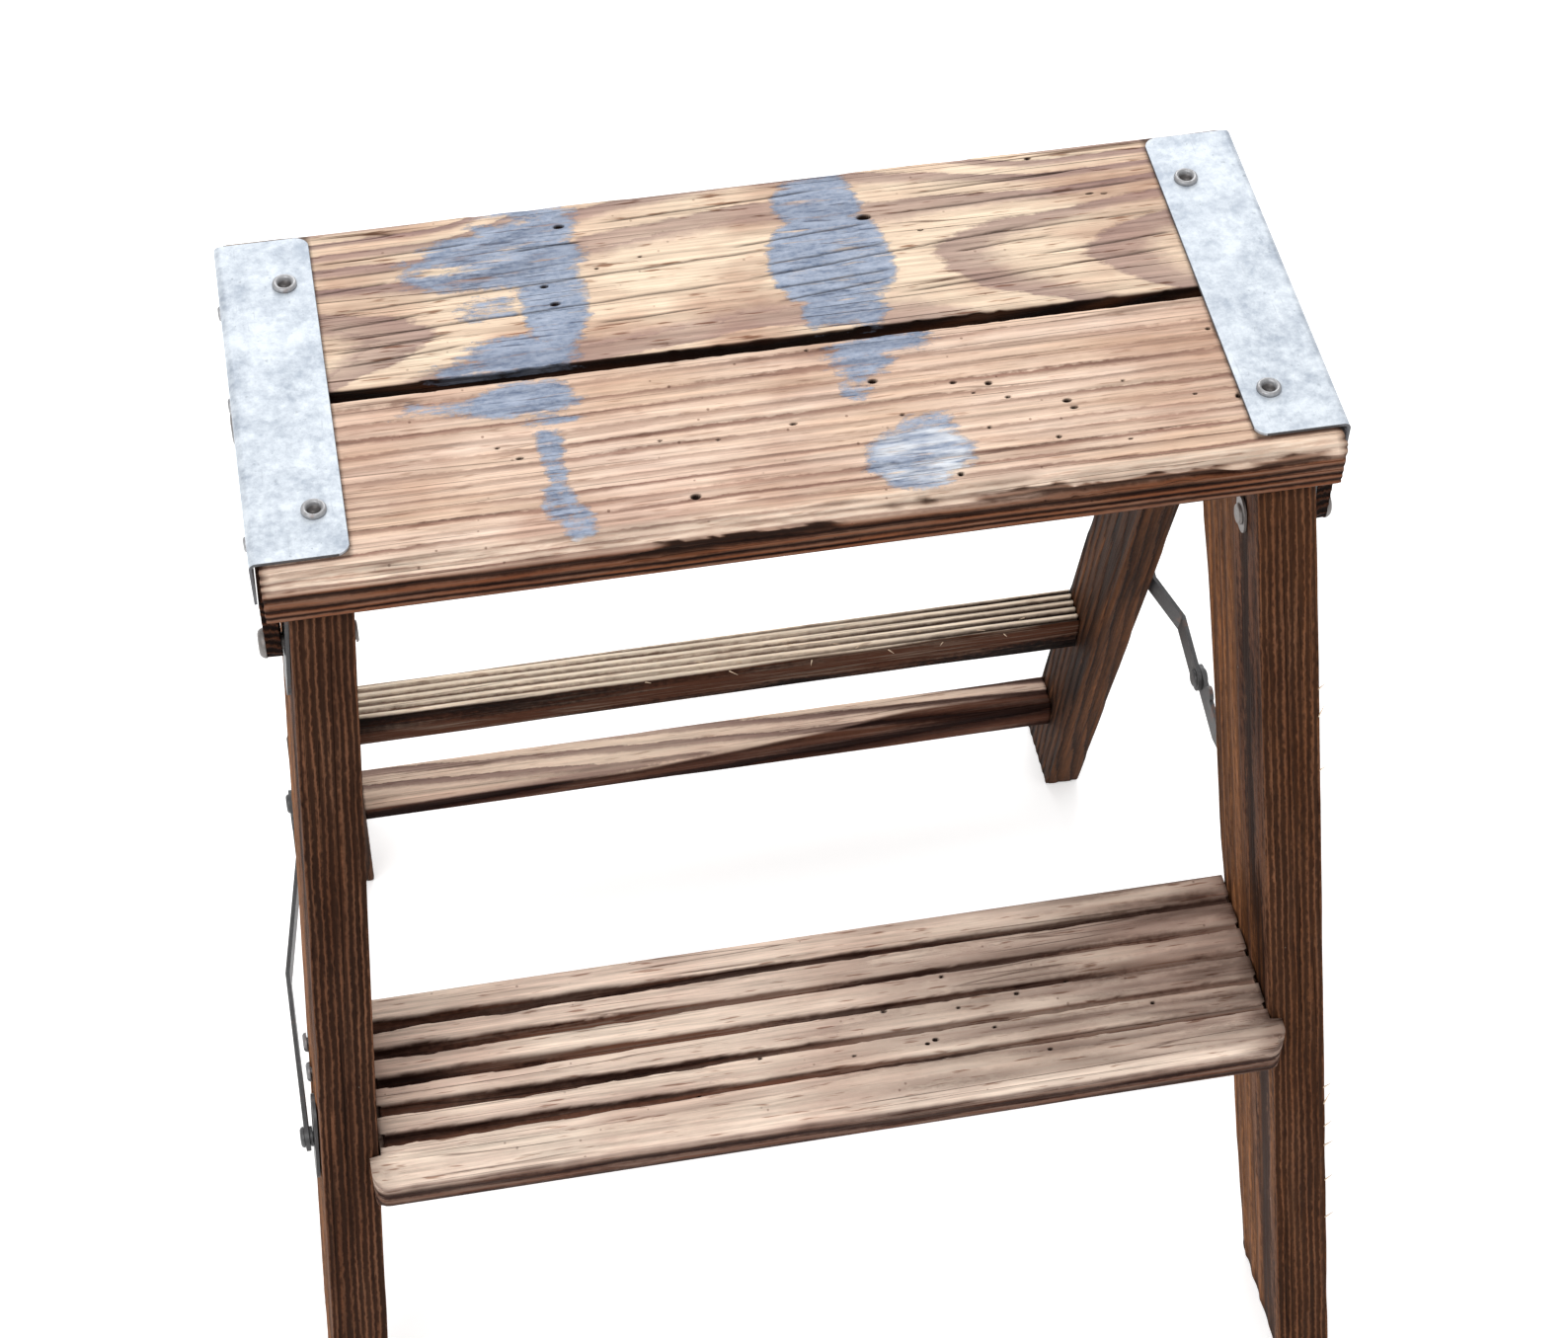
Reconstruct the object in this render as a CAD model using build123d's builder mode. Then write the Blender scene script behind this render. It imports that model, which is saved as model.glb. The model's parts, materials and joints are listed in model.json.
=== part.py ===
from build123d import *
import math
import os

# A folding wooden step stool: two top boards under galvanised end caps, splayed front legs with one
# grooved tread, a rear frame that swings forward to fold, and a jointed steel spreader on each side.
# Millimetres and degrees. +X is the user's right, +Y points back, +Z up, and the floor is z = 0.

# Top boards
top_width = 440.0
top_underside = 500.0
board_thickness = 23.0
front_board_depth = 93.2
rear_board_depth = 94.2
board_gap = 6.0
board_overhang = 4.3
board_end_gap = 2.4
board_nose_radius = 7.0
board_edge_radius = 2.0

# End caps of bent sheet, with their rivets and nails
cap_sheet = 1.2
cap_width = 39.4
cap_length = 179.5
cap_setback = 10.7
cap_flange_depth = 23.0
cap_bend_radius = 3.0
cap_corner_radius = 6.0
rivet_side_inset = 27.5
rivet_front_inset = 24.3
rivet_rear_inset = 27.5
rivet_head_radius = 5.8
rivet_head_height = 1.9
rivet_shank_radius = 3.0
rivet_shank_length = 17.0
rivet_hollow_radius = 2.6
rivet_hollow_depth = 3.0
nail_front_inset = 22.0
nail_middle_inset = 9.5
nail_rear_inset = 27.5
nail_below_top = 12.0
nail_head_radius = 3.2
nail_head_height = 1.3
nail_shank_radius = 1.2
nail_shank_length = 19.0

# Front legs
leg_thickness = 25.5
leg_top_depth = 99.5
leg_foot_depth = 69.0
leg_flare = 37.7
leg_forward_run = 139.4
leg_foot_corner_radius = 8.0

# Cleats under the board ends, the leg plates and the rivets that hold the front legs to them
cleat_thickness = 6.4
cleat_height = 42.0
cleat_length = 175.5
cleat_setback = 12.9
cleat_corner_radius = 13.0
cleat_screw_front_inset = 45.0
cleat_screw_middle_inset = 20.0
cleat_screw_rear_inset = 12.0
cleat_screw_head_radius = 2.8
cleat_screw_head_height = 1.4
cleat_screw_radius = 1.5
cleat_screw_bite = 9.0
leg_plate_thickness = 1.6
leg_plate_width = 22.0
leg_plate_drop = 60.0
leg_rivet_drop = 32.0
leg_rivet_setback = 24.0
leg_rivet_radius = 3.5
leg_rivet_head_radius = 6.2
leg_rivet_head_height = 2.8
leg_rivet_tail_radius = 4.6
leg_rivet_tail_height = 1.2
leg_washer_length = 18.0
leg_washer_width = 12.0
leg_washer_thickness = 1.0

# Tread between the front legs
tread_top = 223.5
tread_thickness = 26.0
tread_nose_projection = 12.5
tread_lap = 3.0
tread_nose_radius = 8.0
tread_lower_radius = 2.5
tread_edge_radius = 2.0
groove_count = 5
groove_first = 15.2
groove_pitch = 15.1
groove_width = 5.5
groove_depth = 2.6
tread_screw_from_back = (10.0, 26.0)
tread_screw_radius = 2.2
tread_screw_bite = 26.0
tread_screw_head_radius = 4.5
tread_screw_head_height = 1.8

# Rear frame: legs on pivot bolts, and two rails
rear_lean = 15.0
rear_leg_thickness = 18.5
rear_leg_depth = 47.0
pivot_behind_leg_front = 132.1
pivot_drop = 29.0
pivot_bolt_radius = 4.0
pivot_head_radius = 8.5
pivot_head_height = 4.0
pivot_spacer_radius = 10.0
pivot_spacer_thickness = 2.5
pivot_washer_radius = 9.0
pivot_washer_thickness = 1.5
pivot_nut_flats = 13.0
pivot_nut_height = 6.0
pivot_bolt_tip = 2.5
upper_rail_section = (24.0, 22.0)
lower_rail_section = (22.0, 18.0)
rail_corner_radius = 2.2
rail_backset = 9.0
upper_rail_height = 156.5
lower_rail_height = 54.0
rail_screw_radius = 2.2
rail_screw_bite = 28.0
rail_screw_head_radius = 4.2
rail_screw_head_height = 1.2

# Jointed spreaders of flat steel bar
link_width = 13.0
link_thickness = 2.0
rear_link_from_pivot = 236.0
front_link_height = 195.0
elbow_standoff = 12.9
rear_link_straight = 20.0
rear_link_bend = 24.0
front_link_straight = 78.0
front_link_bend = 58.0
stop_lug_radius = 4.0
stop_lug_from_elbow = 13.0
bracket_thickness = 1.5
bracket_width = 20.0
bracket_length = 44.0
link_pin_radius = 2.8
link_collar_radius = 4.6
link_collar_length = 1.2
link_head_radius = 4.8
link_head_height = 1.8
link_screw_radius = 2.2
link_screw_bite = 15.0
elbow_pin_radius = 2.6
elbow_head_radius = 4.6
elbow_head_height = 1.6

# Share of a round head's height that is rounded over
head_rounding = 0.9

# Clearances
seat_gap = 0.1
hole_gap = 0.05
turn_gap = 0.08
run_gap = 0.3

# Where the lines of the side view fall. The frame's y = 0 is halfway between the front and rear feet.
lean = math.radians(rear_lean)
pivot_z = top_underside - pivot_drop
rear_half_depth = rear_leg_depth / 2
rear_foot_half = rear_half_depth / math.cos(lean)
rear_reach = pivot_behind_leg_front + pivot_z * math.tan(lean) + rear_foot_half
leg_front_y = (leg_forward_run - rear_reach) / 2
pivot_y = leg_front_y + pivot_behind_leg_front
leg_backward_run = leg_top_depth + leg_forward_run - leg_foot_depth
half_width = top_width / 2
reach = 2 * top_width

# Where the lines of the front view fall: the cleat lines up with the flange, the leg plate fits between
# the leg and the cleat's lower edge, and the rear leg stands one spacer inside the cleat.
flange_inner = half_width - cap_sheet
cleat_outer = flange_inner - seat_gap
cleat_inner = cleat_outer - cleat_thickness
leg_slope = leg_flare / top_underside
leg_top_spread = cleat_inner - seat_gap - leg_plate_thickness - leg_slope * cleat_height
rear_leg_outer = cleat_inner - pivot_spacer_thickness - run_gap
rear_leg_inner = rear_leg_outer - rear_leg_thickness


def leg_outer(z):
    """X of a right front leg's outer face at height z."""
    return leg_top_spread + leg_slope * (top_underside - z)


def leg_front(z):
    """Y of a front leg's front edge at height z."""
    return leg_front_y - leg_forward_run * (1 - z / top_underside)


def leg_rear(z):
    """Y of a front leg's rear edge at height z."""
    return leg_front_y + leg_top_depth - leg_backward_run * (1 - z / top_underside)


def leg_band(low, high):
    """Front-view corners of a band that runs beside the right leg's outer face, low to high from it."""
    foot, top = leg_outer(0), leg_outer(top_underside)
    return [(foot + low, 0), (foot + high, 0), (top + high, top_underside), (top + low, top_underside)]


def rear_point(along, across):
    """Side-view point on the rear frame, along the leg from its pivot and across it towards the back."""
    y = pivot_y + along * math.sin(lean) + across * math.cos(lean)
    z = pivot_z - along * math.cos(lean) + across * math.sin(lean)
    return y, z


def mirrored(right_hand):
    """The left-hand twin of a right-hand piece."""
    with BuildPart() as twin:
        mirror(right_hand.part, about=Plane.YZ)
    return twin


def cross_hole(x, y, z, radius, length):
    """Cuts a round hole along X, centred on the point, in the piece being built."""
    with Locations((x, y, z)):
        Cylinder(radius, length, rotation=(0, 90, 0), mode=Mode.SUBTRACT)


def ring_along_x(x, y, z, outer_radius, inner_radius, thickness):
    """A washer or spacer on an X axis, from x outward, and its twin on the left."""
    with BuildPart() as ring:
        with BuildSketch(Plane.YZ.offset(x)):
            with Locations((y, z)):
                Circle(outer_radius)
                Circle(inner_radius, mode=Mode.SUBTRACT)
        extrude(amount=thickness)
        mirror(about=Plane.YZ)
    return ring


def side_fasteners(seats, head_radius, head_height, shank_radius, shank_length):
    """Round-headed fasteners driven inward from both sides: a seat is the point under a head."""
    with BuildPart() as fasteners:
        for seat in seats:
            with Locations(Location(seat, (0, 90, 0))):
                Cylinder(head_radius, head_height, align=(Align.CENTER, Align.CENTER, Align.MIN))
            fillet(fasteners.edges(Select.LAST).sort_by(Axis.X)[-1], head_rounding * head_height)
            with Locations(Location(seat, (0, 90, 0))):
                Cylinder(shank_radius, shank_length, align=(Align.CENTER, Align.CENTER, Align.MAX))
        mirror(about=Plane.YZ)
    return fasteners


def splayed_plate(spot, length, width, turn, low, high, hole_spot, hole_radius):
    """A round-ended plate that lies parallel to the right front leg's outer face, low to high from it."""
    with BuildPart() as plate:
        with BuildSketch(Plane.YZ):
            with Locations(spot):
                SlotOverall(length, width, rotation=turn)
        extrude(amount=reach)
        with BuildSketch(Plane.XZ):
            with BuildLine():
                Polyline(*leg_band(low, high), close=True)
            make_face()
        extrude(amount=reach, both=True, mode=Mode.INTERSECT)
        cross_hole(half_width, *hole_spot, hole_radius, reach)
    return plate


def link_bar(start, end, straight, bend, start_x, end_x, lug):
    """A flat bar from start to end in the side view, stepped sideways from start_x to end_x."""
    length = math.dist(start, end)
    along = (0, (end[0] - start[0]) / length, (end[1] - start[1]) / length)
    origin = (0, start[0], start[1])
    edge_plane = Plane(origin=origin, x_dir=along, z_dir=(0, along[2], -along[1]))
    face_plane = Plane(origin=origin, x_dir=along, z_dir=(1, 0, 0))
    tip = link_width
    inner = [(-tip, start_x), (straight, start_x), (straight + bend, end_x), (length + tip, end_x)]
    outer = [(u, x + link_thickness) for u, x in reversed(inner)]
    with BuildPart() as bar:
        with BuildSketch(edge_plane):
            with BuildLine():
                Polyline(*inner, *outer, close=True)
            make_face()
        extrude(amount=link_width, both=True)
        with BuildSketch(face_plane):
            with Locations((length / 2, 0)):
                SlotCenterToCenter(length, link_width)
            if lug:
                with Locations((length - stop_lug_from_elbow, link_width / 2)):
                    Circle(stop_lug_radius)
        extrude(amount=reach, mode=Mode.INTERSECT)
        cross_hole(start_x, start[0], start[1], link_pin_radius + turn_gap, link_width)
        cross_hole(end_x, end[0], end[1], elbow_pin_radius + hole_gap, link_width)
    return bar


def link_pivots(spot, seat_x, link_x):
    """Shoulder screws that carry a link on both sides: bite, collar, pin through the link, and head."""
    pin_start = link_x - run_gap
    pin_end = link_x + link_thickness + run_gap
    with BuildPart() as pivots:
        with BuildSketch(Plane.YZ.offset(pin_end)):
            with Locations(spot):
                Circle(link_head_radius)
        extrude(amount=link_head_height)
        fillet(pivots.edges().sort_by(Axis.X)[-1], head_rounding * link_head_height)
        for radius, low, high in (
            (link_pin_radius, pin_start, pin_end),
            (link_collar_radius, seat_x, pin_start),
            (link_screw_radius, seat_x - link_screw_bite, seat_x),
        ):
            with BuildSketch(Plane.YZ.offset(low)):
                with Locations(spot):
                    Circle(radius)
            extrude(amount=high - low)
        mirror(about=Plane.YZ)
    return pivots


def elbow_half(spot, x, outward):
    """Half of an elbow rivet on the right: a shank through one bar and a round head on its far side."""
    turn = 90 if outward else -90
    with BuildPart() as half:
        with Locations(Location((x, *spot), (0, turn, 0))):
            Cylinder(elbow_pin_radius, link_thickness, align=(Align.CENTER, Align.CENTER, Align.MIN))
        far_x = x + link_thickness if outward else x - link_thickness
        with Locations(Location((far_x, *spot), (0, turn, 0))):
            Cylinder(elbow_head_radius, elbow_head_height, align=(Align.CENTER, Align.CENTER, Align.MIN))
        rims = half.edges().filter_by(GeomType.CIRCLE).sort_by(Axis.X)
        fillet(rims[-1] if outward else rims[0], head_rounding * elbow_head_height)
    return half


# Places shared by several pieces
board_top = top_underside + board_thickness
board_front_y = leg_front_y - board_overhang
front_board_back = board_front_y + front_board_depth
rear_board_front = front_board_back + board_gap
board_back_y = rear_board_front + rear_board_depth
cap_top = board_top + seat_gap + cap_sheet
cap_front_y = board_front_y + cap_setback
cap_mid_y = cap_front_y + cap_length / 2
board_half_length = flange_inner - board_end_gap
rivet_x = half_width - rivet_side_inset
rivet_ys = (cap_front_y + rivet_front_inset, cap_front_y + cap_length - rivet_rear_inset)
nail_z = cap_top - nail_below_top
nail_ys = (
    cap_front_y + nail_front_inset,
    rear_board_front + nail_middle_inset,
    cap_front_y + cap_length - nail_rear_inset,
)
cleat_bottom = top_underside - cleat_height
cleat_mid_x = cleat_inner + cleat_thickness / 2
cleat_front_y = board_front_y + cleat_setback
cleat_screw_ys = (
    front_board_back - cleat_screw_front_inset,
    rear_board_front + cleat_screw_middle_inset,
    cleat_front_y + cleat_length - cleat_screw_rear_inset,
)
leg_rivet_z = top_underside - leg_rivet_drop
leg_rivet_y = leg_front(leg_rivet_z) + leg_rivet_setback
leg_rivet_spot = (leg_rivet_y, leg_rivet_z)
tread_bottom = tread_top - tread_thickness
tread_back_y = leg_rear(tread_top)
tread_front_y = leg_front(tread_top) - tread_nose_projection
tread_depth = tread_back_y - tread_front_y
tread_screw_z = tread_top - tread_thickness / 2
tread_screw_ys = [tread_back_y - from_back for from_back in tread_screw_from_back]
rail_rise = pivot_z + rail_backset * math.sin(lean)
rail_spots = [
    rear_point((rail_rise - height) / math.cos(lean), rail_backset)
    for height in (upper_rail_height, lower_rail_height)
]

# Spreader geometry: with these bar lengths the elbow folds up as the rear frame swings to the front legs
rear_link_spot = rear_point(rear_link_from_pivot, 0)
front_link_spot = ((leg_front(front_link_height) + leg_rear(front_link_height)) / 2, front_link_height)
link_span = math.dist(rear_link_spot, front_link_spot)
link_difference = math.dist((pivot_y, pivot_z), front_link_spot) - rear_link_from_pivot
rear_link_length = (link_span - link_difference) / 2
elbow_share = rear_link_length / link_span
elbow_spot = tuple(a + (b - a) * elbow_share for a, b in zip(rear_link_spot, front_link_spot))
rear_link_x = rear_leg_outer + link_collar_length + run_gap
bracket_face = leg_outer(front_link_height - link_collar_radius) + bracket_thickness
front_link_x = leg_outer(front_link_height - bracket_width) + bracket_thickness + run_gap
elbow_x = rear_leg_outer + elbow_standoff
elbow_inner_x = elbow_x - run_gap / 2 - link_thickness
elbow_outer_x = elbow_x + run_gap / 2

os.makedirs("parts", exist_ok=True)

nail_hole = (nail_shank_radius + hole_gap, 2 * nail_shank_length)

# Top boards
with BuildPart() as top_board_front:
    with BuildSketch(Plane.YZ) as front_section:
        with Locations((board_front_y, top_underside)):
            Rectangle(front_board_depth, board_thickness, align=(Align.MIN, Align.MIN))
        nose = front_section.vertices().group_by(Axis.X)[0].sort_by(Axis.Y)
        fillet(nose[-1], board_nose_radius)
        fillet(nose[0], board_edge_radius)
    extrude(amount=board_half_length, both=True)
    with Locations(*[(side * rivet_x, rivet_ys[0], board_top) for side in (-1, 1)]):
        Hole(rivet_shank_radius + hole_gap, depth=rivet_shank_length)
    with Locations(*[(side * cleat_mid_x, cleat_screw_ys[0], top_underside) for side in (-1, 1)]):
        Cylinder(cleat_screw_radius + hole_gap, 2 * cleat_screw_bite, mode=Mode.SUBTRACT)
    for side in (-1, 1):
        cross_hole(side * board_half_length, nail_ys[0], nail_z, *nail_hole)
top_board_front.part.label = "top_board_front"
export_step(top_board_front.part, "parts/top_board_front.step")

with BuildPart() as top_board_rear:
    with BuildSketch(Plane.YZ) as rear_section:
        with Locations((rear_board_front, top_underside)):
            Rectangle(rear_board_depth, board_thickness, align=(Align.MIN, Align.MIN))
        fillet(rear_section.vertices().group_by(Axis.X)[-1], board_edge_radius)
    extrude(amount=board_half_length, both=True)
    with Locations(*[(side * rivet_x, rivet_ys[1], board_top) for side in (-1, 1)]):
        Hole(rivet_shank_radius + hole_gap, depth=rivet_shank_length)
    rear_screws = [(side * cleat_mid_x, y, top_underside) for side in (-1, 1) for y in cleat_screw_ys[1:]]
    with Locations(*rear_screws):
        Cylinder(cleat_screw_radius + hole_gap, 2 * cleat_screw_bite, mode=Mode.SUBTRACT)
    for side in (-1, 1):
        for y in nail_ys[1:]:
            cross_hole(side * board_half_length, y, nail_z, *nail_hole)
top_board_rear.part.label = "top_board_rear"
export_step(top_board_rear.part, "parts/top_board_rear.step")

# End caps
cap_under = cap_top - cap_sheet
cap_bottom = cap_top - cap_flange_depth
cap_inner_x = half_width - cap_width
with BuildPart() as cap_right:
    with BuildSketch(Plane.XZ.offset(-cap_mid_y)) as cap_section:
        with BuildLine():
            Polyline(
                (cap_inner_x, cap_top),
                (half_width, cap_top),
                (half_width, cap_bottom),
                (flange_inner, cap_bottom),
                (flange_inner, cap_under),
                (cap_inner_x, cap_under),
                close=True,
            )
        make_face()
        outer_bend = cap_section.vertices().sort_by_distance((half_width, cap_top))[0]
        fillet(outer_bend, cap_bend_radius)
        inner_bend = cap_section.vertices().sort_by_distance((flange_inner, cap_under))[0]
        fillet(inner_bend, cap_bend_radius - cap_sheet)
    extrude(amount=cap_length / 2, both=True)
    fillet(cap_right.edges().filter_by(Axis.Z).group_by(Axis.X)[0], cap_corner_radius)
    with Locations(*[(rivet_x, y, cap_top) for y in rivet_ys]):
        Hole(rivet_shank_radius + hole_gap, depth=2 * cap_sheet)
    for y in nail_ys:
        cross_hole(half_width, y, nail_z, nail_hole[0], 4 * cap_sheet)
cap_right.part.label = "cap_right"
export_step(cap_right.part, "parts/cap_right.step")

cap_left = mirrored(cap_right)
cap_left.part.label = "cap_left"
export_step(cap_left.part, "parts/cap_left.step")

with BuildPart() as cap_rivets:
    rivet_spots = [(side * rivet_x, y, cap_top) for side in (-1, 1) for y in rivet_ys]
    with Locations(*rivet_spots):
        Cylinder(rivet_head_radius, rivet_head_height, align=(Align.CENTER, Align.CENTER, Align.MIN))
    fillet(cap_rivets.edges().group_by(Axis.Z)[-1], head_rounding * rivet_head_height)
    with Locations(*rivet_spots):
        Cylinder(rivet_shank_radius, rivet_shank_length, align=(Align.CENTER, Align.CENTER, Align.MAX))
    with Locations(*[(x, y, cap_top + rivet_head_height) for x, y, _ in rivet_spots]):
        Hole(rivet_hollow_radius, depth=rivet_hollow_depth)
cap_rivets.part.label = "cap_rivets"
export_step(cap_rivets.part, "parts/cap_rivets.step")

nail_seats = [(half_width, y, nail_z) for y in nail_ys]
cap_nails = side_fasteners(
    nail_seats, nail_head_radius, nail_head_height, nail_shank_radius, nail_shank_length
)
cap_nails.part.label = "cap_nails"
export_step(cap_nails.part, "parts/cap_nails.step")

# Cleats under the board ends
with BuildPart() as cleat_right:
    with BuildSketch(Plane.YZ.offset(cleat_inner)) as cleat_outline:
        with Locations((cleat_front_y, cleat_bottom)):
            Rectangle(cleat_length, cleat_height, align=(Align.MIN, Align.MIN))
        fillet(cleat_outline.vertices().group_by(Axis.Y)[0], cleat_corner_radius)
    extrude(amount=cleat_thickness)
    cross_hole(cleat_mid_x, *leg_rivet_spot, leg_rivet_radius + hole_gap, 2 * cleat_thickness)
    cross_hole(cleat_mid_x, pivot_y, pivot_z, pivot_bolt_radius + hole_gap, 2 * cleat_thickness)
    with Locations(*[(cleat_mid_x, y, top_underside) for y in cleat_screw_ys]):
        Hole(cleat_screw_radius + hole_gap, depth=cleat_height)
cleat_right.part.label = "cleat_right"
export_step(cleat_right.part, "parts/cleat_right.step")

cleat_left = mirrored(cleat_right)
cleat_left.part.label = "cleat_left"
export_step(cleat_left.part, "parts/cleat_left.step")

with BuildPart() as cleat_screws:
    screw_spots = [(side * cleat_mid_x, y, cleat_bottom) for side in (-1, 1) for y in cleat_screw_ys]
    with Locations(*screw_spots):
        Cylinder(
            cleat_screw_head_radius,
            cleat_screw_head_height,
            align=(Align.CENTER, Align.CENTER, Align.MAX),
        )
    fillet(cleat_screws.edges().group_by(Axis.Z)[0], head_rounding * cleat_screw_head_height)
    with Locations(*screw_spots):
        Cylinder(
            cleat_screw_radius,
            cleat_height + cleat_screw_bite,
            align=(Align.CENTER, Align.CENTER, Align.MIN),
        )
cleat_screws.part.label = "cleat_screws"
export_step(cleat_screws.part, "parts/cleat_screws.step")

# Front legs
with BuildPart() as front_leg_right:
    with BuildSketch(Plane.YZ):
        with BuildLine():
            Polyline(
                (leg_front(0), 0),
                (leg_front(top_underside), top_underside),
                (leg_rear(top_underside), top_underside),
                (leg_rear(0), 0),
                close=True,
            )
        make_face()
    extrude(amount=reach)
    with BuildSketch(Plane.XZ):
        with BuildLine():
            Polyline(*leg_band(-leg_thickness, 0), close=True)
        make_face()
    extrude(amount=reach, both=True, mode=Mode.INTERSECT)
    foot_edges = front_leg_right.edges().filter_by(Axis.X).group_by(Axis.Z)[0]
    fillet(foot_edges.sort_by(Axis.Y)[-1], leg_foot_corner_radius)
    cross_hole(leg_top_spread, *leg_rivet_spot, leg_rivet_radius + hole_gap, reach)
    for y in tread_screw_ys:
        cross_hole(leg_top_spread, y, tread_screw_z, tread_screw_radius + hole_gap, reach)
    link_hole_radius = link_screw_radius + hole_gap
    cross_hole(bracket_face, *front_link_spot, link_hole_radius, 2 * link_screw_bite)
front_leg_right.part.label = "front_leg_right"
export_step(front_leg_right.part, "parts/front_leg_right.step")

front_leg_left = mirrored(front_leg_right)
front_leg_left.part.label = "front_leg_left"
export_step(front_leg_left.part, "parts/front_leg_left.step")

# Leg plates between the legs and the cleats, and the rivets through all three
rivet_hole_radius = leg_rivet_radius + hole_gap
leg_plate_right = splayed_plate(
    (leg_rivet_y, top_underside),
    2 * leg_plate_drop,
    leg_plate_width,
    90,
    0,
    leg_plate_thickness,
    leg_rivet_spot,
    rivet_hole_radius,
)
leg_plate_right.part.label = "leg_plate_right"
export_step(leg_plate_right.part, "parts/leg_plate_right.step")

leg_plate_left = mirrored(leg_plate_right)
leg_plate_left.part.label = "leg_plate_left"
export_step(leg_plate_left.part, "parts/leg_plate_left.step")

washer_low = -leg_thickness - leg_washer_thickness
leg_washer_right = splayed_plate(
    leg_rivet_spot,
    leg_washer_length,
    leg_washer_width,
    90,
    washer_low,
    -leg_thickness,
    leg_rivet_spot,
    rivet_hole_radius,
)
leg_washer_right.part.label = "leg_washer_right"
export_step(leg_washer_right.part, "parts/leg_washer_right.step")

leg_washer_left = mirrored(leg_washer_right)
leg_washer_left.part.label = "leg_washer_left"
export_step(leg_washer_left.part, "parts/leg_washer_left.step")

tail_x = leg_outer(leg_rivet_z + leg_rivet_tail_radius) + washer_low
with BuildPart() as leg_rivets:
    with BuildSketch(Plane.YZ.offset(cleat_outer)):
        with Locations(leg_rivet_spot):
            Circle(leg_rivet_head_radius)
    extrude(amount=leg_rivet_head_height)
    fillet(leg_rivets.edges().sort_by(Axis.X)[-1], head_rounding * leg_rivet_head_height)
    with BuildSketch(Plane.YZ.offset(tail_x)):
        with Locations(leg_rivet_spot):
            Circle(leg_rivet_tail_radius)
    extrude(amount=-leg_rivet_tail_height)
    fillet(leg_rivets.edges().sort_by(Axis.X)[0], head_rounding * leg_rivet_tail_height)
    with BuildSketch(Plane.YZ.offset(tail_x)):
        with Locations(leg_rivet_spot):
            Circle(leg_rivet_radius)
    extrude(amount=cleat_outer - tail_x)
    mirror(about=Plane.YZ)
leg_rivets.part.label = "leg_rivets"
export_step(leg_rivets.part, "parts/leg_rivets.step")

# Tread: it butts against the legs' inner faces, and its nose laps a little in front of them
with BuildPart() as leg_space:
    with BuildSketch(Plane.YZ):
        with BuildLine():
            Polyline(
                (leg_front(0) - seat_gap, 0),
                (leg_front(top_underside) - seat_gap, top_underside),
                (reach, top_underside),
                (reach, 0),
                close=True,
            )
        make_face()
    extrude(amount=2 * reach)
    with BuildSketch(Plane.XZ):
        with BuildLine():
            Polyline(*leg_band(-leg_thickness - seat_gap, 0), close=True)
        make_face()
    extrude(amount=2 * reach, both=True, mode=Mode.INTERSECT)
    mirror(about=Plane.YZ)

tread_half_length = leg_outer(tread_bottom) - leg_thickness + tread_lap
with BuildPart() as tread:
    with BuildSketch(Plane.YZ) as tread_section:
        with Locations((tread_front_y, tread_bottom)):
            Rectangle(tread_depth, tread_thickness, align=(Align.MIN, Align.MIN))
        fillet(tread_section.vertices().group_by(Axis.X)[0].sort_by(Axis.Y)[-1], tread_nose_radius)
        fillet(tread_section.vertices().group_by(Axis.X)[0].sort_by(Axis.Y)[0], tread_lower_radius)
        fillet(tread_section.vertices().group_by(Axis.X)[-1], tread_edge_radius)
        groove_ys = [tread_back_y - groove_first - i * groove_pitch for i in range(groove_count)]
        with Locations(*[(y, tread_top) for y in groove_ys]):
            Rectangle(groove_width, 2 * groove_depth, mode=Mode.SUBTRACT)
    extrude(amount=tread_half_length, both=True)
    add(leg_space.part, mode=Mode.SUBTRACT)
    for side in (-1, 1):
        tread_end = side * (leg_outer(tread_screw_z) - leg_thickness)
        for y in tread_screw_ys:
            cross_hole(tread_end, y, tread_screw_z, tread_screw_radius + hole_gap, 2 * tread_screw_bite)
tread.part.label = "tread"
export_step(tread.part, "parts/tread.step")

tread_head_x = leg_outer(tread_screw_z - tread_screw_head_radius)
tread_screws = side_fasteners(
    [(tread_head_x, y, tread_screw_z) for y in tread_screw_ys],
    tread_screw_head_radius,
    tread_screw_head_height,
    tread_screw_radius,
    leg_thickness + tread_screw_bite - tread_screw_head_height,
)
tread_screws.part.label = "tread_screws"
export_step(tread_screws.part, "parts/tread_screws.step")

# Rear legs, round at the pivot and cut level at the floor
with BuildPart() as rear_leg_right:
    with BuildSketch(Plane.YZ.offset(rear_leg_inner)):
        foot_mid = pivot_y + pivot_z * math.tan(lean)
        with BuildLine():
            Line((foot_mid - rear_foot_half, 0), rear_point(0, -rear_half_depth))
            ThreePointArc(
                rear_point(0, -rear_half_depth),
                rear_point(-rear_half_depth, 0),
                rear_point(0, rear_half_depth),
            )
            Line(rear_point(0, rear_half_depth), (foot_mid + rear_foot_half, 0))
            Line((foot_mid + rear_foot_half, 0), (foot_mid - rear_foot_half, 0))
        make_face()
    extrude(amount=rear_leg_thickness)
    cross_hole(rear_leg_inner, pivot_y, pivot_z, pivot_bolt_radius + turn_gap, reach)
    for y, z in rail_spots:
        cross_hole(rear_leg_inner, y, z, rail_screw_radius + hole_gap, reach)
    cross_hole(rear_leg_outer, *rear_link_spot, link_hole_radius, 2 * link_screw_bite)
rear_leg_right.part.label = "rear_leg_right"
export_step(rear_leg_right.part, "parts/rear_leg_right.step")

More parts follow.
